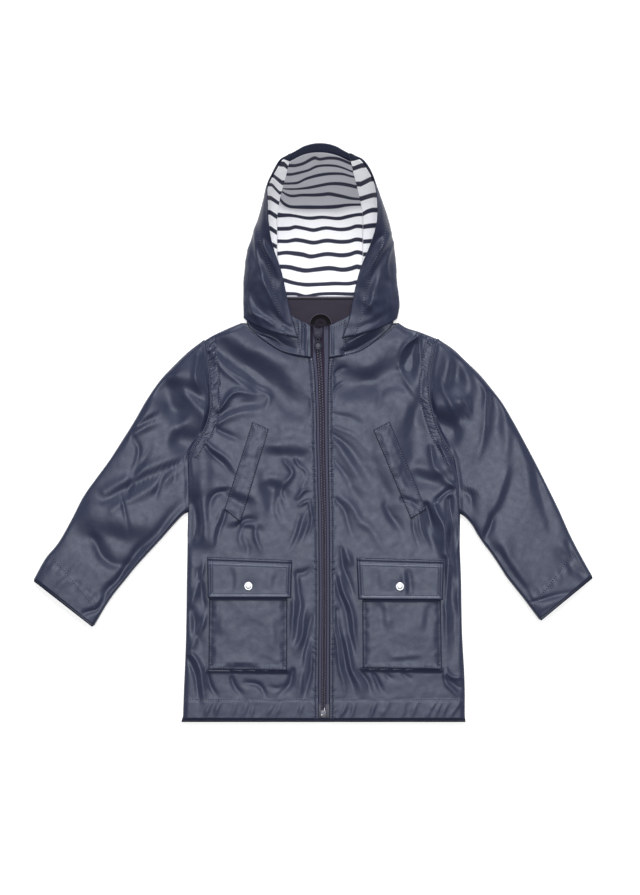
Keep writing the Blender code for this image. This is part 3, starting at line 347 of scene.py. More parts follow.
def blendRows(rows, count):  # table rows blended smoothly, with the given rows evenly spaced
    ends = withEnds(rows)
    found = []
    for where in np.linspace(0, len(rows) - 1, count + 1):
        first = min(int(where), len(rows) - 2)
        found.append(curve(*ends[first:first + 4], where - first))
    return np.array(found)


def lengthAlong(path):  # the length up to each of its points
    return np.concatenate([[0], np.cumsum(np.linalg.norm(np.diff(path, axis=0), axis=1))])


def atLengths(path, wanted):  # points at lengths along a path
    along = lengthAlong(path)
    return np.column_stack([np.interp(wanted, along, column) for column in np.array(path).T])


def respaced(path, shares):  # points of a path at shares of its length
    return atLengths(path, np.clip(shares, 0, 1) * lengthAlong(path)[-1])


def offsetLine(points, by):  # a smooth line moved sideways, to the left of its run where by is above 0
    line = smoothLine(points, 60)
    return line + by * leftOf(line)


def leftOf(line):  # unit steps to the left of each point's run
    run = np.gradient(line, axis=0)
    return np.column_stack([-run[:, 1], run[:, 0]]) / np.linalg.norm(run, axis=1, keepdims=True)


def nearPath(path, plane):  # distance of each point from a line, and how far along the line it is, in mm
    path = np.array(path, float)[:, :2]
    along = lengthAlong(path)
    away = np.full(plane.shape[:-1], np.inf)
    where = np.zeros(plane.shape[:-1])
    for a, b, start in zip(path, path[1:], along):
        run = b - a
        t = np.clip(((plane - a) @ run) / (run @ run), 0, 1)
        apart = np.linalg.norm(plane - (a + t[..., None] * run), axis=-1)
        closer = apart < away
        away = np.where(closer, apart, away)
        where = np.where(closer, start + t * np.linalg.norm(run), where)
    return away, where


def step(value, low, high):  # 0 below low, 1 above high, smooth between
    t = np.clip((value - low) / (high - low), 0, 1)
    return t * t * (3 - 2 * t)


def hump(value, at, wide):  # 1 at one value, and fading to both sides of it
    return np.exp(-((value - at) / wide) ** 2)


def turnedUnder(away, wide):  # 1 at a cut edge, and 0 from a width in
    return (1 - step(away, 0, wide)) ** 2


def wave(plane, size, seed):  # smooth noise over the cloth, from about -0.5 to 0.5
    flat = plane.reshape(-1, 2) / size
    return np.array([noise.noise((x, y, seed)) for x, y in flat]).reshape(plane.shape[:-1])


def wavered(plane, seed):  # the same places, moved a little, so that no crease runs quite true
    shift = np.stack([wave(plane, cloth["waverSize"], seed), wave(plane, cloth["waverSize"], seed + 9)], axis=-1)
    return plane + 2 * cloth["waver"] * shift


def crumple(plane, seed):  # the small unevenness of coated cloth that has been worn
    wide = wave(plane, 42, seed)
    ridged = 0.5 - np.abs(wave(wavered(plane, seed + 3), 26, seed + 1))
    return 0.5 * wide + 0.9 * (ridged - 0.3) + 0.25 * wave(plane, 9, seed + 2)


def foldField(rows, plane, seed):  # the height that a table of creases gives each point
    total = np.zeros(plane.shape[:-1])
    places = wavered(plane, seed)
    for row in rows:
        fold = dict(zip(foldColumns, row))
        path = smoothLine([(fold["x0"], fold["y0"]), (fold["xm"], fold["ym"]), (fold["x1"], fold["y1"])], 10)
        away, along = nearPath(path, places)
        share = along / lengthAlong(path)[-1]
        widening = 0.7 + 0.6 * share if fold["root"] > 0.25 else 1
        q = away / (fold["reach"] * widening)
        soft = np.exp(-q**2)
        sharp = np.exp(-1.5 * (np.sqrt(q**2 + 0.03) - 0.17))
        crest = soft + fold["crease"] * (sharp - soft)
        taper = np.sin(np.pi * (fold["root"] + (0.94 - fold["root"]) * share))
        total += fold["height"] * taper * crest
    return total


def tiltField(rows, plane, seed):  # the height that a table of broad slopes gives each point
    total = np.zeros(plane.shape[:-1])
    places = wavered(plane, seed)
    for row in rows:
        slope = dict(zip(tiltColumns, row))
        start, end = np.array((slope["x0"], slope["y0"])), np.array((slope["x1"], slope["y1"]))
        half = np.linalg.norm(end - start) / 2
        run = (end - start) / (2 * half)
        offset = places - (start + end) / 2
        along, right = offset @ run, offset @ np.array((run[1], -run[0]))
        total -= slope["fall"] * right * np.exp(-((right / slope["wide"]) ** 2) - (along / half) ** 4)
    return total


def fromPatch(corners, plane):  # distance of each point from a four-cornered patch's edge, below 0 inside it
    ring = [*corners, corners[0]]
    away = nearPath(ring, plane)[0]
    inside = np.ones(plane.shape[:-1], bool)
    for (ax, ay), (bx, by) in zip(ring, ring[1:]):
        inside &= (bx - ax) * (plane[..., 1] - ay) - (by - ay) * (plane[..., 0] - ax) < 0
    return np.where(inside, -away, away)


def coons(low, top, inner, outer, across):  # (x, y) of a panel between four edges
    up = np.linspace(0, 1, len(outer))
    u, v = across[None, :, None], up[:, None, None]
    between = (1 - u) * inner[:, None] + u * outer[:, None]
    ends = (1 - v) * low[None] + v * top[None]
    corners = (1 - v) * ((1 - u) * low[0] + u * low[-1]) + v * ((1 - u) * top[0] + u * top[-1])
    return between + ends - corners


def normals(points):  # along column x row
    across, along = np.gradient(points, axis=1), np.gradient(points, axis=0)
    found = np.cross(across, along)
    return found / np.maximum(np.linalg.norm(found, axis=-1, keepdims=True), 1e-9)


def areaOf(plane):  # of a flat grid of (x, y), in square metres
    a = plane[1:, 1:] - plane[:-1, :-1]
    b = plane[1:, :-1] - plane[:-1, 1:]
    return float(np.abs(a[..., 0] * b[..., 1] - a[..., 1] * b[..., 0]).sum() / 2) * mm**2


def surfaceArea(points):  # of a grid in space, in square metres
    cross = np.cross(points[1:, 1:] - points[:-1, :-1], points[1:, :-1] - points[:-1, 1:])
    return float(np.linalg.norm(cross, axis=-1).sum() / 2) * mm**2


# Objects


def linked(name, data):
    made = bpy.data.objects.new(name, data)
    bpy.context.scene.collection.objects.link(made)
    return made


def linkedMesh(name, bm, finish):
    mesh = bpy.data.meshes.new(name)
    bm.to_mesh(mesh)
    bm.free()
    mesh.shade_smooth()
    mesh.materials.append(finish)
    return linked(name, mesh)


def quadsOf(points, loop):  # faces of a grid, which point along row x column
    rows, columns = points.shape[:2]
    index = np.arange(rows * columns).reshape(rows, columns)
    if loop:
        index = np.hstack([index, index[:, :1]])
    quads = np.stack([index[:-1, :-1], index[:-1, 1:], index[1:, 1:], index[1:, :-1]], axis=-1)
    return quads.reshape(-1, 4).tolist()


def gridObject(name, points, finish, uv=None, loop=False):
    mesh = bpy.data.meshes.new(name)
    mesh.from_pydata((points.reshape(-1, 3) * mm).tolist(), [], quadsOf(points, loop))
    if uv is not None:
        layer = mesh.uv_layers.new(name="cut")
        corner = np.zeros(len(mesh.loops), int)
        mesh.loops.foreach_get("vertex_index", corner)
        layer.data.foreach_set("uv", (uv.reshape(-1, 2) * mm)[corner].astype(np.float32).ravel())
    mesh.shade_smooth()
    mesh.materials.append(finish)
    return linked(name, mesh)


def place(made, nodes, owner="coat"):  # rides on its body and stands for its CAD nodes
    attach(made, owner)
    if nodes:
        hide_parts(*nodes)
    return made


def clothPiece(name, points, look, node, area=None, wall=cloth["wall"], uv=None,
               loop=False):
    made = gridObject(name, points, looks[look], uv, loop)
    shell = made.modifiers.new("wall", "SOLIDIFY")
    shell.thickness = wall * mm
    shell.offset = -1
    place(made, [node])
    area = surfaceArea(points) * cloth["ease"] if area is None else area


def skin(points):  # the outer face of a grid, to lay stitches and other things on
    return BVHTree.FromPolygons(points.reshape(-1, 3).tolist(), quadsOf(points, False))


def dropped(on, p):  # where a point falls on a skin, and the skin's normal there
    return on.ray_cast(Vector((*p, 300)), Vector((0, 0, -1)))[:2]


# Shader maths


class Shade:  # one socket of a material, or the value that some maths on it gives
    def __init__(self, tree, socket):
        self.tree, self.socket = tree, socket

    def maths(self, kind, first, second=0.0):
        return shaderNode(self.tree, "ShaderNodeMath", {"operation": kind}, {0: first, 1: second})

    def __add__(self, other):
        return self.maths("ADD", self, other)

    def __sub__(self, other):
        return self.maths("SUBTRACT", self, other)

    def __rsub__(self, other):
        return self.maths("SUBTRACT", other, self)

    def __mul__(self, other):
        return self.maths("MULTIPLY", self, other)

    def __truediv__(self, other):
        return self.maths("DIVIDE", self, other)

    def __pow__(self, other):
        return self.maths("POWER", self, other)

    def __abs__(self):
        return self.maths("ABSOLUTE", self)

    __radd__ = __add__
    __rmul__ = __mul__

    def sine(self):
        return self.maths("SINE", self)

    def part(self):  # what is left over past the last whole number
        return self.maths("FRACT", self)

    def above(self, low, high):  # 0 below low, 1 above high
        return shaderNode(self.tree, "ShaderNodeMapRange", {"interpolation_type": "SMOOTHSTEP"},
                          {"Value": self, "From Min": low, "From Max": high})


def feed(tree, socket, value):
    if isinstance(value, Shade):
        tree.links.new(value.socket, socket)
    else:
        socket.default_value = value


def shaderNode(tree, kind, settings, values, output=0):  # every node of a material is made here
    made = tree.nodes.new(kind)
    for name, value in settings.items():
        setattr(made, name, value)
    for name, value in values.items():
        feed(tree, made.inputs[name], value)
    return Shade(tree, made.outputs[output])


class Finish:  # a material, with methods that add nodes to it
    def __init__(self, name, **even):
        self.material = bpy.data.materials.new(name)
        self.material.use_nodes = True
        self.tree = self.material.node_tree
        self.shader = self.tree.nodes["Principled BSDF"]
        self.set({key.replace("_", " "): value for key, value in even.items()})

    def set(self, values):
        for name, value in values.items():
            feed(self.tree, self.shader.inputs[name], value)

    def node(self, *what):
        return shaderNode(self.tree, *what)

    def place(self):
        return self.node("ShaderNodeTexCoord", {}, {}, "Object")

    def cut(self):  # the cloth's own flat lengths, in metres
        return self.node("ShaderNodeUVMap", {"uv_map": "cut"}, {})

    def speckle(self, where, size, detail=2.0, rough=0.5):  # noise of a size in millimetres
        return self.node("ShaderNodeTexNoise", {}, {"Vector": where, "Scale": 1 / (size * mm), "Detail": detail,
                                                    "Roughness": rough})

    def parts(self, vector):
        split = self.node("ShaderNodeSeparateXYZ", {}, {0: vector})
        return [Shade(self.tree, socket) for socket in split.socket.node.outputs]

    def mix(self, share, *colours):
        first, second = (value if isinstance(value, Shade) else (*value, 1) for value in colours)
        return self.node("ShaderNodeMix", {"data_type": "RGBA"}, {0: share, 6: first, 7: second}, 2)

    def relief(self, *layers):  # (height, depth in millimetres) pairs, each laid on the one before
        normal = None
        for height, depth in layers:
            values = {"Height": height, "Distance": depth * mm, "Strength": 1.0}
            if normal:
                values["Normal"] = normal
            normal = self.node("ShaderNodeBump", {}, values)
        self.set({"Normal": normal})


coated = {"dark": (0.016, 0.0195, 0.044), "pale": (0.025, 0.030, 0.064), "gloss": (0.82, 0.88, 1.0), "rough": 0.39,
          "crumple": 0.09, "grain": 0.015, "broadSize": 60, "smallSize": 9, "grainSize": 0.7, "creaseSize": 14}


def coatedCloth():
    finish = Finish("coatedCloth", Specular_IOR_Level=0.43, Specular_Tint=(*coated["gloss"], 1))
    where = finish.place()
    broad = finish.speckle(where, coated["broadSize"], 3)
    small = finish.speckle(where, coated["smallSize"], 3, 0.6)
    grain = finish.speckle(where, coated["grainSize"], 2)
    creased = 1 - abs(finish.speckle(where, coated["creaseSize"], 2, 0.55) * 2 - 1)
    finish.set({
        "Base Color": finish.mix(broad * 0.6 + grain * 0.4, coated["dark"], coated["pale"]),
        "Roughness": coated["rough"] + 0.16 * (small - 0.5) + 0.1 * (grain - 0.5),
    })
    finish.relief((creased + 0.6 * small, coated["crumple"]), (grain, coated["grain"]))
    return finish.material


plum = {"colour": (0.022, 0.018, 0.032), "pale": (0.036, 0.030, 0.048), "edge": (0.085, 0.076, 0.105),
        "seam": (0.006, 0.005, 0.009), "seamY": (209.4, 212.0), "stitch": (1.3, 1.6)}


def plumJersey():
    finish = Finish("plumJersey", Roughness=0.85, Specular_IOR_Level=0.3, Sheen_Weight=0.06, Sheen_Roughness=0.6)
    x, y, _ = finish.parts(finish.cut())
    loops = knit(finish, x, y, *plum["stitch"])
    fuzz = finish.speckle(finish.place(), 0.5, 2)
    low, high = plum["seamY"]
    knitted = finish.mix(loops * 0.5 + fuzz * 0.4, plum["colour"], plum["pale"])
    # a dark line below the top edge: painted shadow under the rolled binding
    withPaintedShadowLine = finish.mix(y.above(low * mm, (low + 0.7) * mm), knitted, plum["seam"])
    finish.set({"Base Color": finish.mix(y.above(high * mm, (high + 0.9) * mm), withPaintedShadowLine, plum["edge"])})
    finish.relief((loops, 0.12), (fuzz, 0.05))
    return finish.material


guard = {"colour": (0.016, 0.012, 0.022), "inside": (0.003, 0.003, 0.004), "rim": (0.060, 0.055, 0.078),
         "paintedShadowFrom": (0.50, 0.62), "paintedHighlightFrom": (0.93, 0.97)}


def guardCloth():  # plum, with painted black shadow under its arched edge and a painted highlight along its rim
    finish = Finish("guardJersey", Roughness=0.85, Specular_IOR_Level=0.2)
    x, y, _ = finish.parts(finish.cut())
    out = (x * x + y * y) ** 0.5
    # painted shadow inside the arch, then a painted highlight on the rim
    under = finish.mix(out.above(*guard["paintedShadowFrom"]), guard["colour"], guard["inside"])
    finish.set({"Base Color": finish.mix(out.above(*guard["paintedHighlightFrom"]), under, guard["rim"])})
    return finish.material


def knit(finish, x, y, wale, course):  # rows of small V shapes, from 0 between them to 1
    column = x / (wale * mm)
    slant = abs(column.part() - 0.5)
    row = (y / (course * mm) + slant * 1.2) * (2 * math.pi)
    return (0.5 + 0.5 * row.sine()) * (1 - (slant * 2) ** 3.0)


stripes = {"white": (0.95, 0.96, 1.0), "paintedCrownShade": (0.40, 0.405, 0.45), "navy": (0.013, 0.015, 0.038),
           "shade": (0.60, 0.61, 0.66), "pitch": 18.0, "wide": 5.7, "blur": 0.6, "waver": 0.7,
           "shadeFrom": 119, "shadeTo": 136, "glow": 0.16, "stitch": (1.1, 1.3)}


def stripedJersey():
    # the lining glows a little in its own colours: painted light, standing in for light through the thin jersey
    finish = Finish("stripedJersey", Roughness=0.85, Sheen_Weight=0.1, Sheen_Roughness=0.6,
                    Emission_Strength=stripes["glow"])
    cut = finish.cut()
    x, y, _ = finish.parts(cut)
    waver = (finish.speckle(cut, 45, 1) - 0.5) * (stripes["waver"] * 2 * mm)
    away = abs(((y + waver) / (stripes["pitch"] * mm)).part() - 0.5) * stripes["pitch"]
    half = stripes["wide"] / 2
    band = 1 - away.above(half - stripes["blur"], half + stripes["blur"])
    loops = knit(finish, x, y, *stripes["stitch"])
    fuzz = finish.speckle(finish.place(), 0.6, 2)
    # towards the crown the white is mixed to grey: painted shade, where the crown's lining lies in shadow
    shaded = y.above(stripes["shadeFrom"] * mm, stripes["shadeTo"] * mm)
    white = finish.mix(shaded, stripes["white"], stripes["paintedCrownShade"])
    knitted = finish.mix(loops * 0.25 + fuzz * 0.15, white, stripes["shade"])
    dyed = finish.mix(band, knitted, stripes["navy"])
    finish.set({"Base Color": dyed, "Emission Color": dyed})
    finish.relief((finish.speckle(finish.place(), 12, 2), 0.5), (loops, 0.1))
    return finish.material


tapeLook = {"dark": (0.042, 0.045, 0.076), "pale": (0.086, 0.092, 0.142), "edge": (0.018, 0.012, 0.028), "rib": 1.0,
            "row": 0.7, "slant": 1.8, "edgeFrom": 3.7, "paintedShadowNearCloth": 6.7}


def wovenTape():
    finish = Finish("wovenTape", Roughness=0.6, Specular_IOR_Level=0.15)
    x, y, _ = finish.parts(finish.cut())
    # dark near the chain, the cord's own colour, and dark again next to the cloth's edge, a painted shadow where the
    # tape runs under the cloth
    beside = 1 - abs(x).above(tapeLook["edgeFrom"] * mm, (tapeLook["edgeFrom"] + 0.5) * mm)
    beside = beside + abs(x).above(tapeLook["paintedShadowNearCloth"] * mm, (tapeLook["paintedShadowNearCloth"] + 0.3) * mm)
    across = (x / (tapeLook["rib"] * mm) * (2 * math.pi)).sine()
    along = ((y / (tapeLook["row"] * mm) + x / (tapeLook["slant"] * mm)) * (2 * math.pi)).sine()
    weave = 0.5 + 0.3 * across + 0.2 * along
    woven = finish.mix(weave, tapeLook["dark"], tapeLook["pale"])
    finish.set({"Base Color": finish.mix(beside, woven, tapeLook["edge"])})
    finish.relief((weave, 0.12))
    return finish.material


def plainFinish(name, colour, rough, metallic=0.0, worn=0.3, grain=0.01, gloss=0.5):  # plastic, metal or thread
    finish = Finish(name, Metallic=metallic, Specular_IOR_Level=gloss)
    where = finish.place()
    patch = finish.speckle(where, 4, 2)
    fine = finish.speckle(where, 0.4, 2)
    darker = tuple(0.75 * part for part in colour)
    finish.set({"Base Color": finish.mix(patch * (1 + worn) - worn * 0.5, darker, colour),
                "Roughness": rough + 0.15 * (patch - 0.5)})
    finish.relief((fine, grain))
    return finish.material


looks = {
    "coat": coatedCloth(),
    "plum": plumJersey(),
    "guard": guardCloth(),
    "lining": stripedJersey(),
    "tape": wovenTape(),
    "tapeEnd": plainFinish("tapeEndFilm", (0.095, 0.095, 0.125), 0.5, grain=0.08, gloss=0.25),
    "teeth": plainFinish("zipMoulding", (0.150, 0.145, 0.200), 0.4),
    "needle": plainFinish("paintedNeedleHoleShade", (0.010, 0.011, 0.020), 0.8, gloss=0.1),
    "darkMetal": plainFinish("darkMetal", (0.017, 0.017, 0.040), 0.42, gloss=0.25, grain=0.03),
    "boxMetal": plainFinish("boxMetal", (0.13, 0.13, 0.155), 0.42, metallic=1.0, worn=1.2, grain=0.12),
    "brightMetal": plainFinish("brightMetal", (0.62, 0.64, 0.68), 0.38, metallic=1.0, worn=0.8, grain=0.05),
    "thread": plainFinish("navyThread", (0.165, 0.170, 0.220), 0.6, grain=0.03),
    "edgeThread": plainFinish("edgeThread", (0.200, 0.205, 0.255), 0.6, grain=0.03),
    "pullFace": plainFinish("pullFace", (0.060, 0.061, 0.085), 0.45, gloss=0.3),
}
print("finishes made")


# Camera, floor and lights

view = {"height": 4.0, "lens": 114.9, "sensor": 36, "centre": (0, 0.0035)}
floor = {"size": 6.0, "low": -0.0003, "colour": (0.93, 0.93, 0.93), "glow": 0.3, "sky": 0.18}
lamps = [  # name, place, aim, width, depth, watts
    ("overhead", (0.0, 0.35, 7.2), (0, 0.0, 0), 2.7, 2.4, 242.0),
    ("north", (0.3, 4.8, 3.0), (0, 0.05, 0), 2.5, 1.5, 265.0),
    ("west", (-2.9, 0.3, 1.9), (0, 0, 0), 1.0, 1.2, 12.0),
    ("east", (2.9, 0.2, 1.9), (0, 0, 0), 1.0, 1.2, 12.0),
]


def buildStudio():
    scene = bpy.context.scene
    camera = bpy.data.cameras.new("photoCamera")
    camera.lens, camera.sensor_width = view["lens"], view["sensor"]
    scene.camera = linked("photoCamera", camera)
    scene.camera.location = (*view["centre"], view["height"])

    half = floor["size"] / 2
    sheet = bpy.data.meshes.new("floor")
    sheet.from_pydata([(x, y, floor["low"]) for x, y in square(0, 0, half, half)], [], [(0, 1, 2, 3)])
    finish = Finish("paleFloor", Roughness=0.9)
    finish.set({"Base Color": (*floor["colour"], 1), "Emission Color": (1, 1, 1, 1),
                "Emission Strength": floor["glow"]})
    sheet.materials.append(finish.material)
    linked("floor", sheet)

    world = bpy.data.worlds.new("studio")
    world.use_nodes = True
    for socket, value in zip(world.node_tree.nodes["Background"].inputs, ((1, 1, 1, 1), floor["sky"])):
        socket.default_value = value
    scene.world = world
    scene.view_settings.view_transform = "Standard"
    for name, location, aim, wide, deep, watts in lamps:
        lamp = bpy.data.lights.new(name, "AREA")
        lamp.shape, lamp.size, lamp.size_y, lamp.energy = "RECTANGLE", wide, deep, watts
        hung = linked(name, lamp)
        hung.location = location
        hung.rotation_euler = (Vector(location) - Vector(aim)).to_track_quat("Z", "Y").to_euler()
    print("camera, floor and lights made")


def square(x, y, halfX, halfY):
    return [(x - halfX, y - halfY), (x + halfX, y - halfY), (x + halfX, y + halfY), (x - halfX, y + halfY)]


buildStudio()


# Sewing and other repeated shapes

thread = {"pitch": 3.6, "long": 1.9, "wide": 0.85, "high": 0.6, "edgeWide": 1.3, "sink": 0.1, "round": (6, 4)}
# needle holes are dark beads: painted shadow in the holes
needle = {"long": 2.1, "wide": 1.35, "high": 0.5, "sink": 0.05}
sewn, needled = {}, []  # stitch points by group, and dark beads of painted shadow at the needle holes between them: (place, along, up)


def shapeTree(name, shape):  # a shape sized by Wide, Long and High, on every point, turned to its "along" and "up"
    tree = bpy.data.node_groups.new(name, "GeometryNodeTree")
    socket, put, join = tree.interface.new_socket, tree.nodes.new, tree.links.new
    kinds = {"Geometry": "Geometry", "Wide": "Float", "Long": "Float", "High": "Float", "Finish": "Material"}
    sockets = {label: socket(label, in_out="INPUT", socket_type="NodeSocket" + kind)
               for label, kind in kinds.items()}
    socket("Geometry", in_out="OUTPUT", socket_type="NodeSocketGeometry")
    start, end, size = put("NodeGroupInput"), put("NodeGroupOutput"), put("ShaderNodeCombineXYZ")
    for axis, label in zip("XYZ", ("Wide", "Long", "High")):
        join(start.outputs[label], size.inputs[axis])
    scaled = put("GeometryNodeTransform")
    join(shape(tree), scaled.inputs["Geometry"])
    join(size.outputs[0], scaled.inputs["Scale"])
    turn = put("FunctionNodeAxesToRotation")
    turn.primary_axis, turn.secondary_axis = "Z", "Y"
    for label, axis in (("up", "Primary Axis"), ("along", "Secondary Axis")):
        named = put("GeometryNodeInputNamedAttribute")
        named.data_type = "FLOAT_VECTOR"
        named.inputs["Name"].default_value = label
        join(named.outputs["Attribute"], turn.inputs[axis])
    copies, real, dressed = (put("GeometryNode" + kind)
                             for kind in ("InstanceOnPoints", "RealizeInstances", "SetMaterial"))
    join(start.outputs["Geometry"], copies.inputs["Points"])
    join(scaled.outputs[0], copies.inputs["Instance"])
    join(turn.outputs[0], copies.inputs["Rotation"])
    join(copies.outputs[0], real.inputs[0])
    join(real.outputs[0], dressed.inputs["Geometry"])
    join(start.outputs["Finish"], dressed.inputs["Material"])
    join(dressed.outputs[0], end.inputs[0])
    return tree, sockets


def beadShape(tree):
    bead = tree.nodes.new("GeometryNodeMeshUVSphere")
    bead.inputs["Segments"].default_value, bead.inputs["Rings"].default_value = thread["round"]
    bead.inputs["Radius"].default_value = 0.5
    return bead.outputs["Mesh"]


def toothShape(tree):
    block = tree.nodes.new("GeometryNodeMeshCube")
    block.inputs["Size"].default_value = (1, 1, 1)
    rounded = tree.nodes.new("GeometryNodeSubdivisionSurface")
    rounded.inputs["Level"].default_value = 1
    rounded.inputs["Edge Crease"].default_value = 0.55
    tree.links.new(block.outputs["Mesh"], rounded.inputs["Mesh"])
    return rounded.outputs["Mesh"]


stitchTree = shapeTree("stitchRun", beadShape)
toothTree = shapeTree("zipTeeth", toothShape)


def grown(name, treeAndSockets, size, points, look):  # a tree's shape on a set of points, as a plain mesh
    tree, sockets = treeAndSockets
    mesh = bpy.data.meshes.new(name)
    mesh.from_pydata([p * mm for p, _, _ in points], [], [])
    for label, part in (("along", 1), ("up", 2)):
        layer = mesh.attributes.new(label, "FLOAT_VECTOR", "POINT")
        layer.data.foreach_set("vector", np.array([p[part] for p in points], np.float32).ravel())
    seed = linked(name + "Points", mesh)
    maker = seed.modifiers.new("maker", "NODES")
    maker.node_group = tree
    for label in ("wide", "long", "high"):
        maker[sockets[label.title()].identifier] = size[label] * mm
    maker[sockets["Finish"].identifier] = looks[look]
    plain = bpy.data.meshes.new_from_object(seed.evaluated_get(bpy.context.evaluated_depsgraph_get()))
    plain.name = name
    made = linked(name, plain)
    bpy.data.objects.remove(seed)
    plain.materials.clear()
    plain.materials.append(looks[look])
    plain.shade_smooth()
    return made


def sew(group, path, on):  # stitches along a line on a skin; a flat line is dropped on it
    path = np.array(path, float)
    total = lengthAlong(path)[-1]
    count = max(2, round(total / thread["pitch"]))
    found = []
    for p in atLengths(path, (np.arange(count) + 0.5) / count * total):
        hit, up = dropped(on, p) if len(p) == 2 else on.find_nearest(Vector(p))[:2]
        if hit is not None:
            found.append((hit, up if len(p) == 3 or up.z > 0 else -up))
    for i, (hit, up) in enumerate(found):
        before, after = found[max(0, i - 1)][0], found[min(len(found) - 1, i + 1)][0]
        run = (after - before).normalized()
        sewn.setdefault(group, []).append((hit - up * thread["sink"], run, up))
        if i:
            needled.append(((hit + before) / 2 - up * needle["sink"], run, up))


def insetSides(corners, inset):  # the sides of a ring of corners, moved in
    ring = [np.array(c, float) for c in corners]
    moved = []
    for i, corner in enumerate(ring):
        before, after = ring[i - 1], ring[(i + 1) % len(ring)]
        a = (before - corner) / np.linalg.norm(before - corner)
        b = (after - corner) / np.linalg.norm(after - corner)
        moved.append(corner + inset / abs(a[0] * b[1] - a[1] * b[0]) * (a + b))
    return [(moved[i], moved[(i + 1) % len(moved)]) for i in range(len(moved))]


# Fronts and back

puckers = {"pitch": 5.2, "height": 0.8, "swell": 38}
frontStitch = {"zip": 5.5, "edge": 1.9, "armhole": (3.2, 14.0), "hem": 27.0, "ends": (2, 3)}
frontForm = {  # a groove is (depth, half width), and an edge that turns under is (width, drop)
    "cut": (0.205, 0.565), "ease": 1.03, "crumple": 0.4,
    "patchFade": 9, "zipFade": 12, "zipShare": 0.25,  # folds die away at the pockets and near the zip
    "pocketRise": 4.4, "pocketInset": 2, "pocketReach": 6.2,  # the front is held up under a pocket's lower edge
    "rippleWide": 3.2, "rippleLean": 0.45, "rippleWaver": 5, "rippleAt": (13, 11),
    "armFrom": (1, 5), "armTo": (11, 17), "armMiddle": 8, "armGroove": (0.5, 1.0),
    "zipPucker": 0.95, "zipPuckerAt": (4.9, 3.4), "zipGroove": (0.5, 0.75), "placket": (0.25, 2.9, 2.2),
    "hemGroove": (0.6, 1.2), "armEdge": (1.0, 0.6), "zipEdge": (0.9, 1.4),
}
# The wave at the back's hem is (height, size, fade), and the lip there (height, place, half width)
backForm = {"cut": (0.4, 0.565), "rows": (90, 46, 14), "columns": 100, "high": 1.4, "lowest": 1.25, "neckFrom": 0.93,
            "wave": (0.5, 18, 6), "lip": (2.6, 7, 4.5), "stitch": (-190, 199, 2)}
pocketCorners = {
    "left": [(-154.6, -158), (-45.6, -160), (-46, -308.4), (-155.8, -306.6)],
    "right": [(58.8, -159), (167.8, -161), (170.5, -306.6), (59.8, -304.9)],
}
flapCorners = {
    "left": [(-157.6, -149.5), (-38.9, -154), (-40.6, -206.6), (-156.7, -206.6)],
    "right": [(51, -150.4), (173.2, -154), (171.4, -209.3), (53.6, -208.5)],
}
weltCorners = {
    "left": [(-94.4, 39.3), (-71.5, 29.3), (-110.9, -101), (-133.7, -82.9)],
    "right": [(74.3, 27.9), (97.2, 40), (148.5, -82.9), (127.1, -96.5)],
}
hemRipples = {"left": (-158, -146, -121, -106, -95, -70, -60, -28),
              "right": (31, 45, 74, 91, 116, 129, 154, 164, 175, 189)}
fronts = {}  # each front's skin, for what is sewn on it


def frontPlane(side):
    cells = body["cells"]
    seam = smoothLine(sideSeam[side][::-1], cells["side"])
    arm = smoothLine(armhole[side][::-1], cells["armhole"])
    outer = np.vstack([seam, arm[1:]])
    across = unevenShares(cells["across"], cells["finer"], cells["within"])
    neck = smoothLine([frontEdge[side][0], *[(sides[side] * x, y) for x, y in neckHalf]], 80)
    top, part = smoothLine(shoulder[side], 60), cells["neckPart"]
    top = np.where(across[:, None] <= part, respaced(neck, across / part),
                   respaced(top, (across - part) / (1 - part)))
    inner = smoothLine(frontEdge[side][::-1], len(outer) - 1)
    hem = inner[0] + across[:, None] * (outer[0] - inner[0])
    return coons(hem, top, inner, outer, across)


def unevenShares(count, finer, within):  # shares from 0 to 1, closer together near both ends
    t = np.linspace(0, 1, 2001)
    dense = 1 + finer[0] * np.exp(-t / within[0]) + finer[1] * np.exp(-(1 - t) / within[1])
    total = np.concatenate([[0], np.cumsum((dense[1:] + dense[:-1]) / 2)])
    return np.interp(np.linspace(0, 1, count + 1), total / total[-1], t)


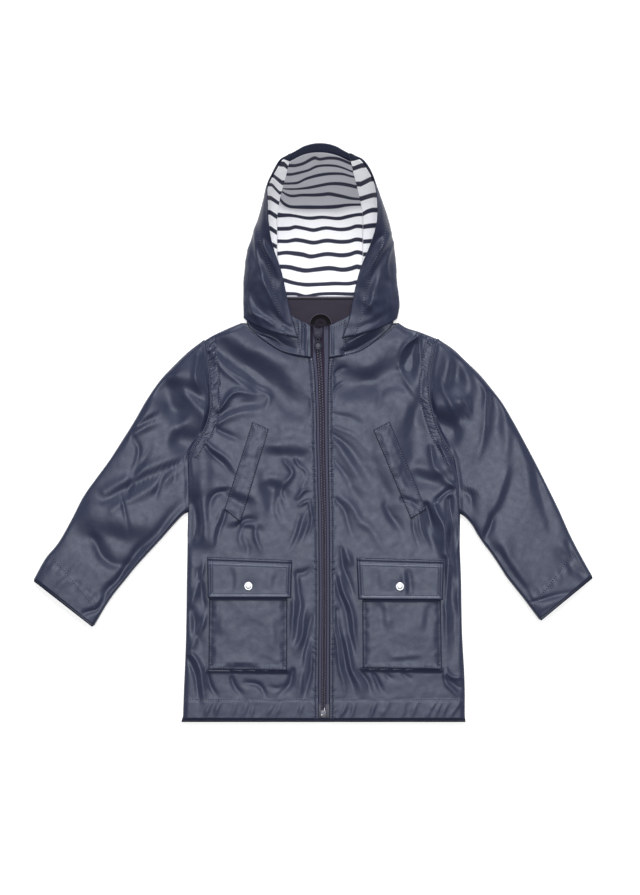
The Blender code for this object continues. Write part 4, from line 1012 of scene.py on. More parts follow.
def frontHeight(side, plane):
    form = frontForm
    seamAway = nearPath(smoothLine(sideSeam[side], 30), plane)[0]
    shoulderAway = nearPath(smoothLine(shoulder[side], 12), plane)[0]
    zipAway, zipAlong = nearPath(smoothLine(frontEdge[side], 40), plane)
    armAway, armAlong = nearPath(smoothLine(armhole[side], 40), plane)
    roll = np.sqrt(1 - (1 - np.clip(np.minimum(seamAway, shoulderAway) / body["roll"], 0, 1)) ** 2)

    shape = foldField(folds[f"front_{side}"], plane, seeds["frontFold"][side])
    shape += tiltField(tilts[f"front_{side}"], plane, seeds["frontTilt"])
    shape += form["crumple"] * crumple(plane, seeds["frontCrumple"][side])
    for corners in (pocketCorners[side], flapCorners[side]):
        shape *= step(fromPatch(corners, plane), 0, form["patchFade"])
    shape *= step(zipAway, 0, form["zipFade"]) * (1 - form["zipShare"]) + form["zipShare"]

    out = fromPatch(pocketCorners[side], plane) + form["pocketInset"]
    below = plane[..., 1] < pocketCorners[side][2][1] + form["pocketInset"]
    shape += form["pocketRise"] * np.clip(1 - out / form["pocketReach"], 0, 1) * below

    hemUp = plane[..., 1] - body["hem"]
    middle, spread = form["rippleAt"]
    leaning = plane[..., 0] - form["rippleLean"] * (hemUp - 12)
    leaning = leaning + form["rippleWaver"] * wave(plane, 24, seeds["hemLean"])
    ripples = sum(hump(leaning, x, form["rippleWide"]) for x in hemRipples[side])
    shape += ripples * hump(hemUp, middle, spread) * (0.5 + 1.2 * np.abs(wave(plane, 30, seeds["hemRipple"])))
    shape -= form["hemGroove"][0] * hump(hemUp, frontStitch["hem"], form["hemGroove"][1])
    shape += body["hemRise"] * (1 - step(hemUp, frontStitch["hem"] - 1, frontStitch["hem"] + 2.5))

    band = step(armAway, *form["armFrom"]) * (1 - step(armAway, *form["armTo"]))
    shape += puckered(armAlong, armAway - form["armMiddle"], band, seeds["armPucker"][side])
    for inset in frontStitch["armhole"]:
        shape -= form["armGroove"][0] * hump(armAway, inset, form["armGroove"][1])
    shape += form["zipPucker"] * puckered(zipAlong * 1.5, zipAway - 6, hump(zipAway, *form["zipPuckerAt"]),
                                          seeds["zipPucker"])
    shape -= form["zipGroove"][0] * hump(zipAway, frontStitch["zip"], form["zipGroove"][1])
    shape += form["placket"][0] * hump(zipAway, *form["placket"][1:])

    top = body["loft"] + shape
    top += (body["zipEdge"] - body["loft"]) * np.exp(-zipAway / body["zipFade"])
    top += body["seamRise"] * np.exp(-armAway / body["armFade"])
    height = body["edgeTop"] + (top - body["edgeTop"]) * roll
    height = np.maximum(height, body["lowest"] * np.maximum(roll, 0.9))
    for away, (wide, drop) in ((armAway, form["armEdge"]), (zipAway, form["zipEdge"])):
        height -= drop * turnedUnder(away, wide)
    return height


def puckered(along, across, where, seed):  # uneven slanting tucks along a seam
    line = np.stack([along + 0.6 * across, across * 0.35], axis=-1)
    swell = wave(np.stack([along, along * 0], axis=-1), puckers["swell"], seed)
    uneven = 0.35 + np.clip(swell + 0.3, 0, 1)
    tucks = 1.6 * wave(line, puckers["pitch"], seed + 1)
    tucks = tucks + 0.8 * wave(line * 1.9 + across[..., None] * 0.3, puckers["pitch"], seed + 2)
    return puckers["height"] * tucks * uneven * where


def buildFront(side):
    plane, sign = frontPlane(side), sides[side]
    points = np.dstack([plane, frontHeight(side, plane)])
    if side == "left":
        points = points[:, ::-1]
    clothPiece(f"front{side.title()}", points, "coat", f"front_{side}",
               areaOf(plane) * frontForm["ease"])
    on = fronts[side] = skin(points)
    sew("bodyStitches", offsetLine(frontEdge[side], frontStitch["zip"] * sign), on)
    sew("edgeStitches", offsetLine(frontEdge[side], frontStitch["edge"] * sign), on)
    for inset in frontStitch["armhole"]:
        sew("bodyStitches", offsetLine(armhole[side][1:], -inset * sign), on)
    inner, outer = frontEdge[side][-1][0], sideSeam[side][-1][0]
    hemY = body["hem"] + frontStitch["hem"]
    nearZip, nearSide = frontStitch["ends"]
    sew("bodyStitches", [(inner + nearZip * sign, hemY), ((inner + outer) / 2, hemY + 0.8),
                         (outer - nearSide * sign, hemY)], on)


def buildBack():
    form = backForm
    lines = {}
    for side in sides:
        seam, arm, top = (smoothLine(line[side][::-1], count)
                          for line, count in zip((sideSeam, armhole, shoulder), form["rows"]))
        lines[side] = np.vstack([[(body["backHemX"][side == "right"], body["backHem"])], seam[1:], arm[1:], top[1:]])
    share = np.linspace(0, 1, form["columns"])[None, :, None]
    plane = lines["left"][:, None] * (1 - share) + lines["right"][:, None] * share
    up = np.linspace(0, 1, len(plane))[:, None]
    dip = (body["shoulderY"] - body["backNeckY"]) * np.sin(np.pi * share[..., 0])
    plane[..., 1] -= dip * (up > form["neckFrom"]) * (up - form["neckFrom"]) / (1 - form["neckFrom"])
    hemUp = plane[..., 1] - body["backHem"]
    high, size, fade = form["wave"]
    lip, lipAt, lipWide = form["lip"]
    height = form["high"] + high * wave(plane, size, seeds["backHem"]) * np.exp(-hemUp / fade)
    height += lip * hump(hemUp, lipAt, lipWide)
    points = np.dstack([plane, np.maximum(height, form["lowest"])])
    clothPiece("backPanel", points, "coat", "back_panel", area=areaOf(plane))
    left, right, rise = form["stitch"]
    sew("bodyStitches", [(left, body["backHem"] + rise), (right, body["backHem"] + rise)], skin(points))


buildBack()
for side in sides:
    buildFront(side)
print("body made")


# Sleeves

sleeveColumns = ("foldX", "foldY", "underX", "underY", "bow")
sleeveBySide = {"left": [(-183.4, -86.5), (-183.8, -46)], "right": [(194.8, -88.5), (193.2, -44)]}
sleeveSections = {
    "left": [
        (-162.1, 154.3, -183.4, -86.5, 1.0),
        (-166.5, 151, -191.5, -91, 0.93),
        (-184, 137.5, -203, -102.9, 0.6),
        (-204, 118.5, -216, -117.6, 0.3),
        (-224, 97, -229, -132, 0.12),
        (-243, 69.5, -241, -145, 0),
        (-260, 40, -252, -157, 0),
        (-277, 13, -262, -168.5, 0),
        (-295, -15, -271, -180, 0),
        (-313, -39.5, -280, -191, 0),
        (-331, -65, -288, -201, 0),
        (-348, -98, -295, -211, 0),
        (-366, -129.5, -302, -222, 0),
        (-384, -151.5, -309, -234, 0),
        (-399.8, -179.6, -315.6, -245.3, 0),
    ],
    "right": [
        (164.9, 156.3, 194.8, -88.5, 1.0),
        (169.5, 152.5, 203, -94, 0.93),
        (187, 140.5, 212.5, -105, 0.6),
        (206, 122.5, 221, -119.5, 0.3),
        (224, 105, 229.5, -132, 0.12),
        (241, 84.5, 238, -143, 0),
        (256, 64.5, 246, -154.5, 0),
        (271, 39, 254, -167, 0),
        (286, 11.5, 261.1, -178, 0),
        (302, -18.8, 268.5, -187.5, 0),
        (318, -50.7, 276, -197, 0),
        (334, -83.4, 283.5, -206.3, 0),
        (350, -119, 291, -216.3, 0),
        (365, -148, 298.5, -226.3, 0),
        (380.4, -175.4, 306.2, -236.6, 0),
    ],
}
# Below 0, seamGap laps the sleeve over the body's edge. The gathers at the cuff are (height, pitch, half width)
sleeve = {"cut": (0.36, 0.36), "ease": 2.08, "loft": 6.6, "radius": 3.3, "dome": 2.2, "rows": 150, "columns": 84,
          "seamGap": -0.7, "tucked": 0.84, "tuckFade": 7.0, "cuffStep": 4.0, "cuffStitch": 30.0, "cuffRise": 0.5,
          "lowest": 2.8, "crumple": 0.4, "foldFade": 5, "innerFade": 16, "domeFade": 40, "gathers": (0.35, 1.1, 7)}


def sleeveEnd(side):  # the line where a sleeve meets the body, with each point's share of its length
    seam = smoothLine(armhole[side][::-1], 80)
    path = np.vstack([sleeveBySide[side], seam - leftOf(seam) * sleeve["seamGap"] * sides[side]])
    path[-1] = sleeveSections[side][0][:2]
    along = lengthAlong(path)
    return path, along / along[-1]


def sleevePoints(side):
    path, shares = sleeveEnd(side)
    bow = path - (path[0] + shares[:, None] * (path[-1] - path[0]))
    even = np.linspace(0, 1, sleeve["columns"] // 2 + 1)
    share = 0.35 * (0.5 - 0.5 * np.cos(np.pi * even)) + 0.65 * even
    rows = blendRows(sleeveSections[side], sleeve["rows"])
    planes, depth = [], []
    for row in rows:
        cut = dict(zip(sleeveColumns, row))
        under, fold = np.array((cut["underX"], cut["underY"])), np.array((cut["foldX"], cut["foldY"]))
        shift = np.column_stack([np.interp(share, shares, bow[:, axis]) for axis in (0, 1)]) * max(cut["bow"], 0)
        planes.append(under + share[:, None] * (fold - under) + shift)
        depth.append(np.minimum(share, 1 - share) * np.linalg.norm(fold - under))
    plane, depth = np.array(planes), np.array(depth)
    fromBody = nearPath(plane[0], plane)[0]
    toCuff = nearPath(plane[-1], plane)[0]

    rise = sleeve["radius"] * np.sqrt(1 - (1 - np.clip(depth / sleeve["radius"], 0, 1)) ** 2)
    inner = step(depth, 0, sleeve["innerFade"])
    shape = foldField(folds[f"sleeve_{side}"], plane, seeds["sleeveFold"][side])
    shape += tiltField(tilts[f"sleeve_{side}"], plane, seeds["sleeveTilt"])
    shape += sleeve["crumple"] * crumple(plane, seeds["sleeveCrumple"][side])
    shape = shape * step(fromBody, 0, sleeve["foldFade"]) * (0.15 + 0.85 * inner)
    shape += sleeve["dome"] * (1 - np.abs(2 * even[None] - 1) ** 4) * step(fromBody, 0, sleeve["domeFade"])
    shape += sleeve["cuffRise"] * (1 - step(toCuff, sleeve["cuffStitch"] - 1, sleeve["cuffStitch"] + 2)) * inner
    high, pitch, wide = sleeve["gathers"]
    gathers = np.sin(np.cumsum(np.ones_like(plane[..., 0]), axis=1) * pitch)
    shape += high * gathers * hump(toCuff, sleeve["cuffStitch"], wide) * inner
    tuck = sleeve["tucked"] + (1 - sleeve["tucked"]) * step(fromBody, 0, sleeve["tuckFade"])
    top = np.dstack([plane, np.maximum((sleeve["loft"] / 2 + rise + shape) * tuck, sleeve["lowest"])])

    cut = dict(zip(sleeveColumns, rows[-1]))
    further = np.array((cut["foldY"] - cut["underY"], cut["underX"] - cut["foldX"]))
    further *= sleeve["cuffStep"] / np.linalg.norm(further) * sides[side]
    underPlane = plane + further * step(-toCuff, -12, 0)[..., None]
    bottom = np.dstack([underPlane, np.maximum((sleeve["loft"] / 2 - rise) * tuck, 0)])
    return np.concatenate([top, bottom[:, -2:0:-1]], axis=1), plane, top


def buildSleeve(side):
    ring, plane, top = sleevePoints(side)
    if side == "right":
        ring = ring[::-1]
    clothPiece(f"sleeve{side.title()}", ring, "coat", f"sleeve_{side}",
               areaOf(plane) * sleeve["ease"], loop=True)
    on = skin(top if side == "left" else top[::-1])
    back = lengthAlong(plane[::-1, plane.shape[1] // 2])
    rowsBack = np.interp(sleeve["cuffStitch"], back, np.arange(len(plane)))
    sew("sleeveStitches", plane[len(plane) - 1 - int(round(rowsBack))][2:-2], on)


for side in sides:
    buildSleeve(side)
print("sleeves made")


# Welts, pockets, flaps and snaps

pocket = {"cut": (0.113, 0.152), "cells": (72, 100), "rise": 4.2, "sewn": 3.0, "puff": 12.0, "stitch": 3.2,
          "underFlap": (2.2, 1.2, 4.0), "lowEdge": (1.8, 2, 5), "turned": 0.9}
flap = {"cut": (0.122, 0.06), "wall": 1.4, "cells": (84, 46), "rise": 6.2, "sewn": 2.6, "drop": 12.0, "edge": 5.6,
        "topEdge": (2.2, 6.0), "lowEdge": (2.2, 1, 5), "press": (0.6, 9)}
welt = {"cut": (0.026, 0.142), "cells": (24, 110), "lift": 1.9, "dome": 0.35, "stitch": 2.2}
snap = {"left": (-100, -190), "right": (111.6, -190.5)}
snapProfile = [(0, 2.0), (1.6, 1.94), (2.8, 1.8), (3.6, 1.62), (4.0, 1.5), (4.3, 1.46), (4.6, 1.5),
               (5.0, 1.54), (5.4, 1.48), (5.75, 1.3), (6.0, 1.0), (6.1, 0.5), (6.0, 0.1), (5.4, 0)]


def patchPlane(corners, cells):
    topLeft, topRight, lowRight, lowLeft = (np.array(corner, float) for corner in corners)
    across, up = (np.linspace(0, 1, count + 1)[:, None] for count in cells)
    low = lowLeft + across * (lowRight - lowLeft)
    top = topLeft + across * (topRight - topLeft)
    return low[None] + up[..., None] * (top - low)[None]


def patchEdges(corners, plane):  # distance from each side: top, right, bottom, left
    return [nearPath([corners[i], corners[(i + 1) % 4]], plane)[0] for i in range(4)]


def buildPatch(kind, side, points, cut, stitched, wall=cloth["wall"]):  # a piece sewn down along lines
    clothPiece(f"{kind}{side.title()}", points, "coat", f"{kind}_{side}", math.prod(cut), wall)
    on = skin(points)
    for line in stitched:
        sew("pocketStitches", line, on)
    return on


def buildPocket(side):
    plane, seed = patchPlane(pocketCorners[side], pocket["cells"]), seeds["pocket"][side]
    _, right, low, left = patchEdges(pocketCorners[side], plane)
    beside = np.minimum(left, right)
    edge = np.minimum(beside, low)
    puff = step(edge, 1.5, pocket["puff"])
    shape = pocket["sewn"] + (pocket["rise"] - pocket["sewn"]) * puff
    shape += (0.4 * crumple(plane, seed) + 0.5 * wave(plane, 30, seed)) * puff
    shape -= 0.35 * hump(edge, pocket["stitch"], 1.4)
    shape += tiltField(tilts[f"pocket_{side}"], plane, seeds["patchTilt"])
    shape += 0.7 * wave(plane * (1, 0.35), 7, seed + 4) * hump(low, 4, 4)
    shape += 0.8 * wave(plane * (0.35, 1), 9, seed + 5) * hump(beside, 5, 4)
    shape -= pocket["turned"] * turnedUnder(beside, 1.5)
    lip, lipAt, lipWide = pocket["lowEdge"]
    shape += lip * hump(low, lipAt, lipWide) - pocket["turned"] * turnedUnder(low, 1.4)
    out = fromPatch(flapCorners[side], plane)
    rise, inset, reach = pocket["underFlap"]  # held up along the flap's lower edge
    shape += rise * np.clip(1 - (out + inset) / reach, 0, 1) * (out > -3) * (plane[..., 1] < snap[side][1])
    buildPatch("pocket", side, np.dstack([plane, body["loft"] + shape]), pocket["cut"],
               insetSides(pocketCorners[side], pocket["stitch"])[1:])


def buildFlap(side):
    plane = patchPlane(flapCorners[side], flap["cells"])
    top, right, low, left = patchEdges(flapCorners[side], plane)
    edge = np.minimum(np.minimum(right, low), left)
    roll, groove = flap["topEdge"]
    shape = flap["sewn"] + (flap["rise"] - flap["sewn"]) * step(top, 2.5, flap["drop"])
    shape += 1.2 * hump(top, roll, 1.6)
    shape -= 0.9 * hump(top, groove, 1.3)
    shape += 0.3 * crumple(plane, seeds["flap"][side]) * step(edge, 3, 10)
    shape += tiltField(tilts[f"flap_{side}"], plane, seeds["patchTilt"])
    shape += 0.45 * hump(edge, 2, 2) - 0.6 * hump(edge, flap["edge"], 1.1)
    shape -= 1.1 * turnedUnder(np.minimum(edge, top), 1.8)
    lip, lipAt, lipWide = flap["lowEdge"]
    shape += lip * hump(low, lipAt, lipWide) - 0.5 * turnedUnder(low, 1.2)
    shape -= flap["press"][0] * hump(np.linalg.norm(plane - snap[side], axis=-1), 0, flap["press"][1])
    around = insetSides(flapCorners[side], flap["edge"])[1:]
    on = buildPatch("flap", side, np.dstack([plane, body["loft"] + shape]), flap["cut"],
                    [*around, insetSides(flapCorners[side], groove)[0]], cloth["wall"] * flap["wall"])
    lift = dropped(on, snap[side])[0].z
    turned(f"snap{side.title()}", [(r, z + lift + 0.1) for r, z in snapProfile], snap[side], "brightMetal",
           [f"snap_{side}"])


def turned(name, profile, centre, look, nodes, steps=48, owner="coat"):  # a (radius, z) profile turned round
    angles = np.linspace(0, 2 * math.pi, steps, endpoint=False)
    rings = np.array([[(r * math.cos(a) + centre[0], r * math.sin(a) + centre[1], z) for a in angles]
                      for r, z in profile])
    bm = bmesh.new()
    grid = [[bm.verts.new(p * mm) for p in ring] for ring in rings]
    for lowRing, highRing in zip(grid, grid[1:]):
        for i in range(steps):
            bm.faces.new((lowRing[i], highRing[i], highRing[(i + 1) % steps], lowRing[(i + 1) % steps]))
    bm.faces.new(grid[-1])
    bmesh.ops.remove_doubles(bm, verts=bm.verts, dist=1e-6)
    bmesh.ops.recalc_face_normals(bm, faces=bm.faces)
    return place(linkedMesh(name, bm, looks[look]), nodes, owner)


def buildWelt(side):
    plane = patchPlane(weltCorners[side], welt["cells"])
    top, right, low, left = patchEdges(weltCorners[side], plane)
    edge = np.minimum(np.minimum(right, low), np.minimum(left, top))
    rest = np.array([[dropped(fronts[side], p)[0].z for p in row] for row in plane])
    lift = np.maximum(rest.mean(axis=1, keepdims=True) - rest, 0) * 0.5 + welt["lift"]
    shape = welt["dome"] * step(edge, 3, 9)
    shape += 0.7 * wave(plane, 22, seeds["welt"]) + 0.3 * wave(plane, 8, seeds["welt"] + 3)
    shape -= 0.2 * hump(edge, welt["stitch"], 0.9)
    shape -= 0.7 * turnedUnder(edge, 1.2)
    buildPatch("welt", side, np.dstack([plane, rest + lift + shape]), welt["cut"],
               insetSides(weltCorners[side], welt["stitch"]))


for side in sides:
    buildWelt(side)
    buildPocket(side)
    buildFlap(side)
print("pockets made")


# Hood

hoodColumns = ("seamX", "seamY", "seamZ", "baseX", "baseY", "baseZ", "outX", "outY", "outZ",
               "midX", "midY", "midZ", "rimX", "rimY", "rimZ", "spread")
hoodSections = [
    (60, 200, 0, 90, 196, 0.4, 105.8, 184.2, 8, 70, 165.4, 16.5, 29.9, 155.4, 16, 1.02),
    (60, 220, 0, 90, 215, 0.4, 106.8, 203.5, 10, 76, 192.1, 21, 38.8, 183.2, 18, 1.04),
    (60, 245, 0, 90, 241, 0.4, 106.2, 236.4, 12, 80, 223.6, 27, 46.8, 217.9, 22, 1.01),
    (60, 273, 0, 88, 270, 0.4, 102.6, 266.1, 14, 83.3, 257.9, 32, 54.6, 252.2, 29.5, 1.03),
    (60, 301, 0, 85, 299.9, 0.8, 95.1, 295.7, 18, 84.6, 289.9, 37, 66.5, 285.2, 40, 1.06),
    (60, 326, 0.4, 79.9, 325.8, 3, 86, 323.5, 25, 81.1, 320, 43, 71.5, 315.2, 51, 1.1),
    (57.9, 345.2, 7, 72.7, 345.7, 15, 78.7, 345.3, 38, 78, 344.1, 52, 73.1, 340.7, 60, 1.09),
    (53.6, 363, 27, 64.4, 364.6, 37, 72.5, 365.9, 55, 73.8, 365.3, 62, 72.8, 363.5, 67, 1.06),
    (48.4, 380.5, 47, 55.7, 383.1, 56, 62, 384, 64, 64.4, 383.4, 68.5, 65.3, 382.5, 71.5, 1.09),
    (44.3, 395.6, 62, 47.2, 396.7, 65.4, 50.1, 397.5, 68.6, 53, 398.2, 71.4, 55.9, 398.6, 74, 1.08),
    (39.3, 408.2, 74.6, 40.7, 407.8, 75, 42.2, 407.2, 75.4, 43.7, 406.4, 75.8, 45.1, 405.4, 76.2, 1.05),
]
hoodCentre = [(200, 0), (220, 0), (245, 0), (273, 0), (301, 0), (326, 0.4), (348.5, 6),  # (y, z) on the middle line
              (369.6, 26), (390.5, 46), (407.4, 64), (421.5, 80)]
hood = {"rows": 84, "side": 60, "centre": 44, "wall": 1.2, "liningIn": 2.2, "rimStitch": 18.0, "liningFrom": 0.05,
        "sideFrom": 0.125, "liningTo": 0.94, "rimShare": 0.12, "seamGap": 0.5, "deepest": 1.5,
        "centreCut": (0.13, 0.29), "sideCut": (0.21, 0.29), "liningCut": (0.13, 0.24), "liningSideCut": (0.11, 0.24)}


def hoodRing(side, cut):
    spread = 1 if side == "left" else cut["spread"]
    ring = [(cut["seamX"] + hood["seamGap"] / 2, cut["seamY"], cut["seamZ"])]
    ring += [(cut[f"{key}X"] * spread, cut[f"{key}Y"], cut[f"{key}Z"]) for key in ("base", "out", "mid", "rim")]
    return [(sides[side] * x, y, z) for x, y, z in ring]


def hoodSide(side):
    points = []
    for row in blendRows(hoodSections, hood["rows"]):
        line = smoothLine(hoodRing(side, dict(zip(hoodColumns, row))), hood["side"])
        line[:, 2] = np.maximum(line[:, 2], 0)
        points.append(line)
    return np.array(points)


def hoodMiddle():
    points = []
    for row, (y, z) in zip(blendRows(hoodSections, hood["rows"]), blendRows(hoodCentre, hood["rows"])):
        cut = dict(zip(hoodColumns, row))
        half = cut["seamX"] - hood["seamGap"] / 2
        near = ((cut["seamY"] + 3 * y) / 4, (cut["seamZ"] + 3 * z) / 4)
        right = [(0, y, z), (half / 2, *near), (half, cut["seamY"], cut["seamZ"])]
        line = smoothLine([(-x, *rest) for x, *rest in right[:0:-1]] + right, hood["centre"])
        line[:, 2] = np.maximum(line[:, 2], 0)
        points.append(line)
    return np.array(points)


def cutLengths(points):  # (x, y) of each point in the flat cloth: along its row, and up its column
    across = np.linalg.norm(np.diff(points, axis=1), axis=-1)
    x = np.concatenate([np.zeros((len(points), 1)), np.cumsum(across, axis=1)], axis=1)
    up = np.linalg.norm(np.diff(points, axis=0), axis=-1)
    y = np.concatenate([np.zeros((1, points.shape[1])), np.cumsum(up, axis=0)], axis=0)
    return np.dstack([x - x.mean(axis=1, keepdims=True), y])


stripeRows = {  # lines that the stripes follow, from the neck to the crown
    "centre": [
        [(-47.6, 218.9), (-34.5, 218.9), (-27.0, 217.0), (-19.5, 215.1), (-8.2, 217.4), (3.0, 218.9),
         (21.8, 219.2), (46.1, 218.3)],
        [(-50.4, 238.4), (-42.0, 235.2), (-30.8, 232.4), (-15.8, 230.9), (3.0, 231.4), (21.8, 232.4),
         (40.5, 232.4), (49.9, 234.6)],
        [(-55.1, 256.8), (-42.0, 255.8), (-30.8, 253.0), (-19.5, 251.1), (-4.5, 253.0), (14.2, 254.9),
         (31.1, 252.4), (42.4, 253.9), (51.8, 257.1), (55.5, 255.8)],
        [(-58.9, 274.6), (-47.6, 276.4), (-34.5, 275.1), (-23.2, 273.6), (-12.0, 270.8), (8.6, 274.6),
         (27.4, 272.7), (40.5, 273.6), (51.8, 277.0), (61.1, 274.6)],
        [(-58.9, 292.4), (-45.8, 292.0), (-34.5, 294.2), (-23.2, 292.8), (-8.2, 290.5), (8.6, 293.3),
         (27.4, 291.4), (40.5, 292.0), (51.8, 294.6), (64.9, 292.0)],
        [(-57.9, 309.6), (-42.0, 310.2), (-34.5, 312.6), (-15.8, 308.9), (-8.2, 307.8), (8.6, 311.1),
         (27.4, 308.9), (40.5, 310.2), (51.8, 313.9), (64.9, 312.1)],
        [(-57.9, 328.6), (-43.9, 329.5), (-34.5, 328.0), (-15.8, 324.6), (3.0, 326.1), (25.5, 323.9),
         (40.5, 327.1), (51.8, 329.5), (64.9, 330.8)],
        [(-57.0, 354.2), (-51.4, 345.8), (-43.9, 341.1), (-34.5, 339.8), (3.0, 339.6), (21.8, 340.8),
         (40.5, 343.8), (57.4, 344.5)],
        [(-57.0, 365.5), (-42.0, 356.5), (-25.1, 357.6), (-8.2, 357.6), (3.0, 358.0), (12.4, 359.1), (21.8, 357.1),
         (33.0, 354.2), (44.2, 351.4), (57.4, 350.5)],
        [(-45.8, 365.5), (-27.0, 365.9), (-15.8, 367.0), (-0.8, 370.2), (12.4, 372.6), (25.5, 373.0),
         (40.5, 371.1), (51.8, 368.3), (59.2, 367.0)],
        [(-42.0, 372.6), (-30.8, 373.9), (-19.5, 380.1), (-4.5, 384.2), (12.4, 386.9), (31.1, 387.1),
         (42.4, 384.2), (57.4, 381.4)],
        [(-40.1, 385.8), (-27.0, 388.9), (-15.8, 391.8), (-4.5, 397.4), (6.8, 398.9), (21.8, 397.8), (33.0, 394.6),
         (44.2, 389.9), (57.4, 386.5)],
        [(-34.5, 397.8), (-23.2, 400.8), (-8.2, 408.6), (-0.8, 406.4), (12.4, 408.2), (25.5, 407.3), (36.8, 403.0),
         (51.8, 396.4)],
    ],
    "left": [
        [(-69.2, 288.6), (-57.9, 283.0)],
        [(-69.2, 310.2), (-57.9, 302.1)],
        [(-70.1, 333.2), (-57.9, 325.2)],
        [(-69.2, 353.3), (-57.9, 345.8)],
        [(-67.3, 372.1), (-57.0, 359.9)],
        [(-64.5, 383.3), (-53.2, 373.0)],
        [(-50.4, 401.1), (-39.2, 389.9)],
    ],
    "right": [
        [(56.4, 291.4), (70.5, 292.4)],
        [(56.4, 312.6), (76.1, 314.5)],
        [(57.4, 328.0), (64.9, 333.2), (72.4, 335.9)],
        [(57.4, 352.0), (75.2, 357.1)],
        [(57.4, 372.1), (70.5, 379.6)],
        [(47.1, 394.6), (58.3, 398.9)],
    ],
}


def stripeCut(points, rows):  # (x, y) in the flat cloth, with a stripe along each given line
    flat = cutLengths(points)
    spread = view["height"] / (view["height"] - points[..., 2] * mm)
    seenX, seenY = points[..., 0] * spread, points[..., 1] * spread
    at = np.stack([np.interp(seenX, *smoothLine(row, 40).T) for row in rows])
    number = np.zeros(seenX.shape)
    for low, high in zip(at, at[1:]):
        number += np.clip((seenY - low) / np.maximum(high - low, 1), 0, 1)
    number += np.minimum(seenY - at[0], 0) / stripes["pitch"] + np.maximum(seenY - at[-1], 0) / stripes["pitch"]
    return np.dstack([flat[..., 0], (number + 0.5) * stripes["pitch"]])


def eitherWay(side, points):  # on the right, the columns the other way round
    return points if side == "left" else points[:, ::-1]


def fromEnds(lines, distance):  # a place on each line, a distance back from its end
    return [atLengths(line[::-1], [distance])[0] for line in lines]


def buildHoodCentre():
    middle = hoodMiddle()[:, ::-1]
    bumps = 0.6 * crumple(middle[..., :2], seeds["hoodCentre"]) * step(middle[..., 2], 3, 20)
    centre = middle + normals(middle) * bumps[..., None]
    centre[..., 2] = np.maximum(centre[..., 2], 0)
    clothPiece("hoodCentre", centre, "coat", "hood_centre", wall=hood["wall"])
    lined = (middle - normals(middle) * (hood["wall"] + hood["liningIn"]))[:, ::-1]
    lined = lined[int(hood["liningFrom"] * hood["rows"]):int(hood["liningTo"] * hood["rows"]) + 1]
    across = np.dstack([lined[..., 0] * 0.7, lined[..., 1] * 2.4])
    wrinkles = 1.2 * wave(across, 30, seeds["lining"]) * step(lined[..., 2], 8, 30)
    wrinkles = wrinkles + 0.4 * wave(lined[..., :2], 26, seeds["lining"] + 5)
    lined = lined + normals(lined) * wrinkles[..., None]
    clothPiece("liningCentre", lined, "lining", "lining_centre",
               wall=cloth["lining"], uv=stripeCut(lined, stripeRows["centre"]))
    sew("hoodStitches", fromEnds(centre[:, ::-1].transpose(1, 0, 2), hood["rimStitch"]), skin(centre))


def buildHoodSide(side):
    panel = eitherWay(side, hoodSide(side))
    places, outward, seed = panel[..., :2], normals(panel), seeds["hoodCrumple"][side]
    shape = 1.5 * foldField(folds[f"hood_side_{side}"], places, seeds["hoodFold"][side])
    shape = shape + 1.3 * crumple(places, seed)
    shape += 0.9 * crumple(places * 1.9, seed + 6)
    shape = np.where(shape < 0, hood["deepest"] * np.tanh(shape / hood["deepest"]), shape)
    outer = panel + outward * (shape * step(outward[..., 2], -0.15, 0.35))[..., None]
    outer[..., 2] = np.maximum(outer[..., 2], 0)
    clothPiece(f"hoodSide{side.title()}", outer, "coat", f"hood_side_{side}",
               wall=hood["wall"])
    inner = eitherWay(side, panel - outward * (hood["wall"] + hood["liningIn"]))
    first, last = (int(hood[key] * hood["rows"]) for key in ("sideFrom", "liningTo"))
    lined = inner[first:last + 1, :hood["side"] - int(hood["side"] * hood["rimShare"])]
    lined = eitherWay(side, lined)[:, ::-1]
    lined = lined + normals(lined) * (0.8 * wave(lined[..., :2], 22, seeds["liningSide"]))[..., None]
    clothPiece(f"lining{side.title()}", lined, "lining", f"lining_side_{side}",
               wall=cloth["lining"], uv=stripeCut(lined, stripeRows[side]))
    sew("hoodStitches", fromEnds(eitherWay(side, outer), hood["rimStitch"]), skin(outer))


buildHoodCentre()
for side in sides:
    buildHoodSide(side)
print("hood made")


# Collar, facing and chin guard

collarSections = [  # seam x, y, z and top x, y, z, from the zip round to the middle of the back
    (12.6, 129.8, 9.0, 13.4, 174, 11),
    (33, 133.4, 9.0, 28, 181, 11),
    (56, 140.2, 9.0, 42, 188, 11),
    (78, 154.6, 8.7, 60, 194, 10.4),
    (92, 166.0, 7.8, 74, 199, 8.8),
    (99.5, 174.0, 6.6, 82, 203, 7.0),
    (101.5, 180.2, 5.0, 85, 206.5, 5.2),
    (97, 181.2, 3.9, 80, 209.5, 4.0),
    (70, 178.6, 3.8, 58, 211.4, 3.8),
    (0, 177.2, 3.8, 0, 211.4, 3.8),
]
collar = {"cut": (0.42, 0.06), "round": 300, "high": 40, "wall": 1.2, "lift": 1.4, "overlap": 0.9, "seam": (0.5, 0.9),
          "stitched": ((4, 108), (-108, -4)), "stitchRow": -6}
facing = {"cut": (0.15, 0.043), "cells": (70, 18), "halfWidth": 74, "lowY": 173, "topY": 214.8, "topZ": 6.3}
chin = {"cut": (0.031, 0.015), "cells": (12, 40), "x": 0.8, "y": 176.0, "halfWidth": 15.4, "height": 14.2,
        "lowZ": 9.0, "rise": 3.4}
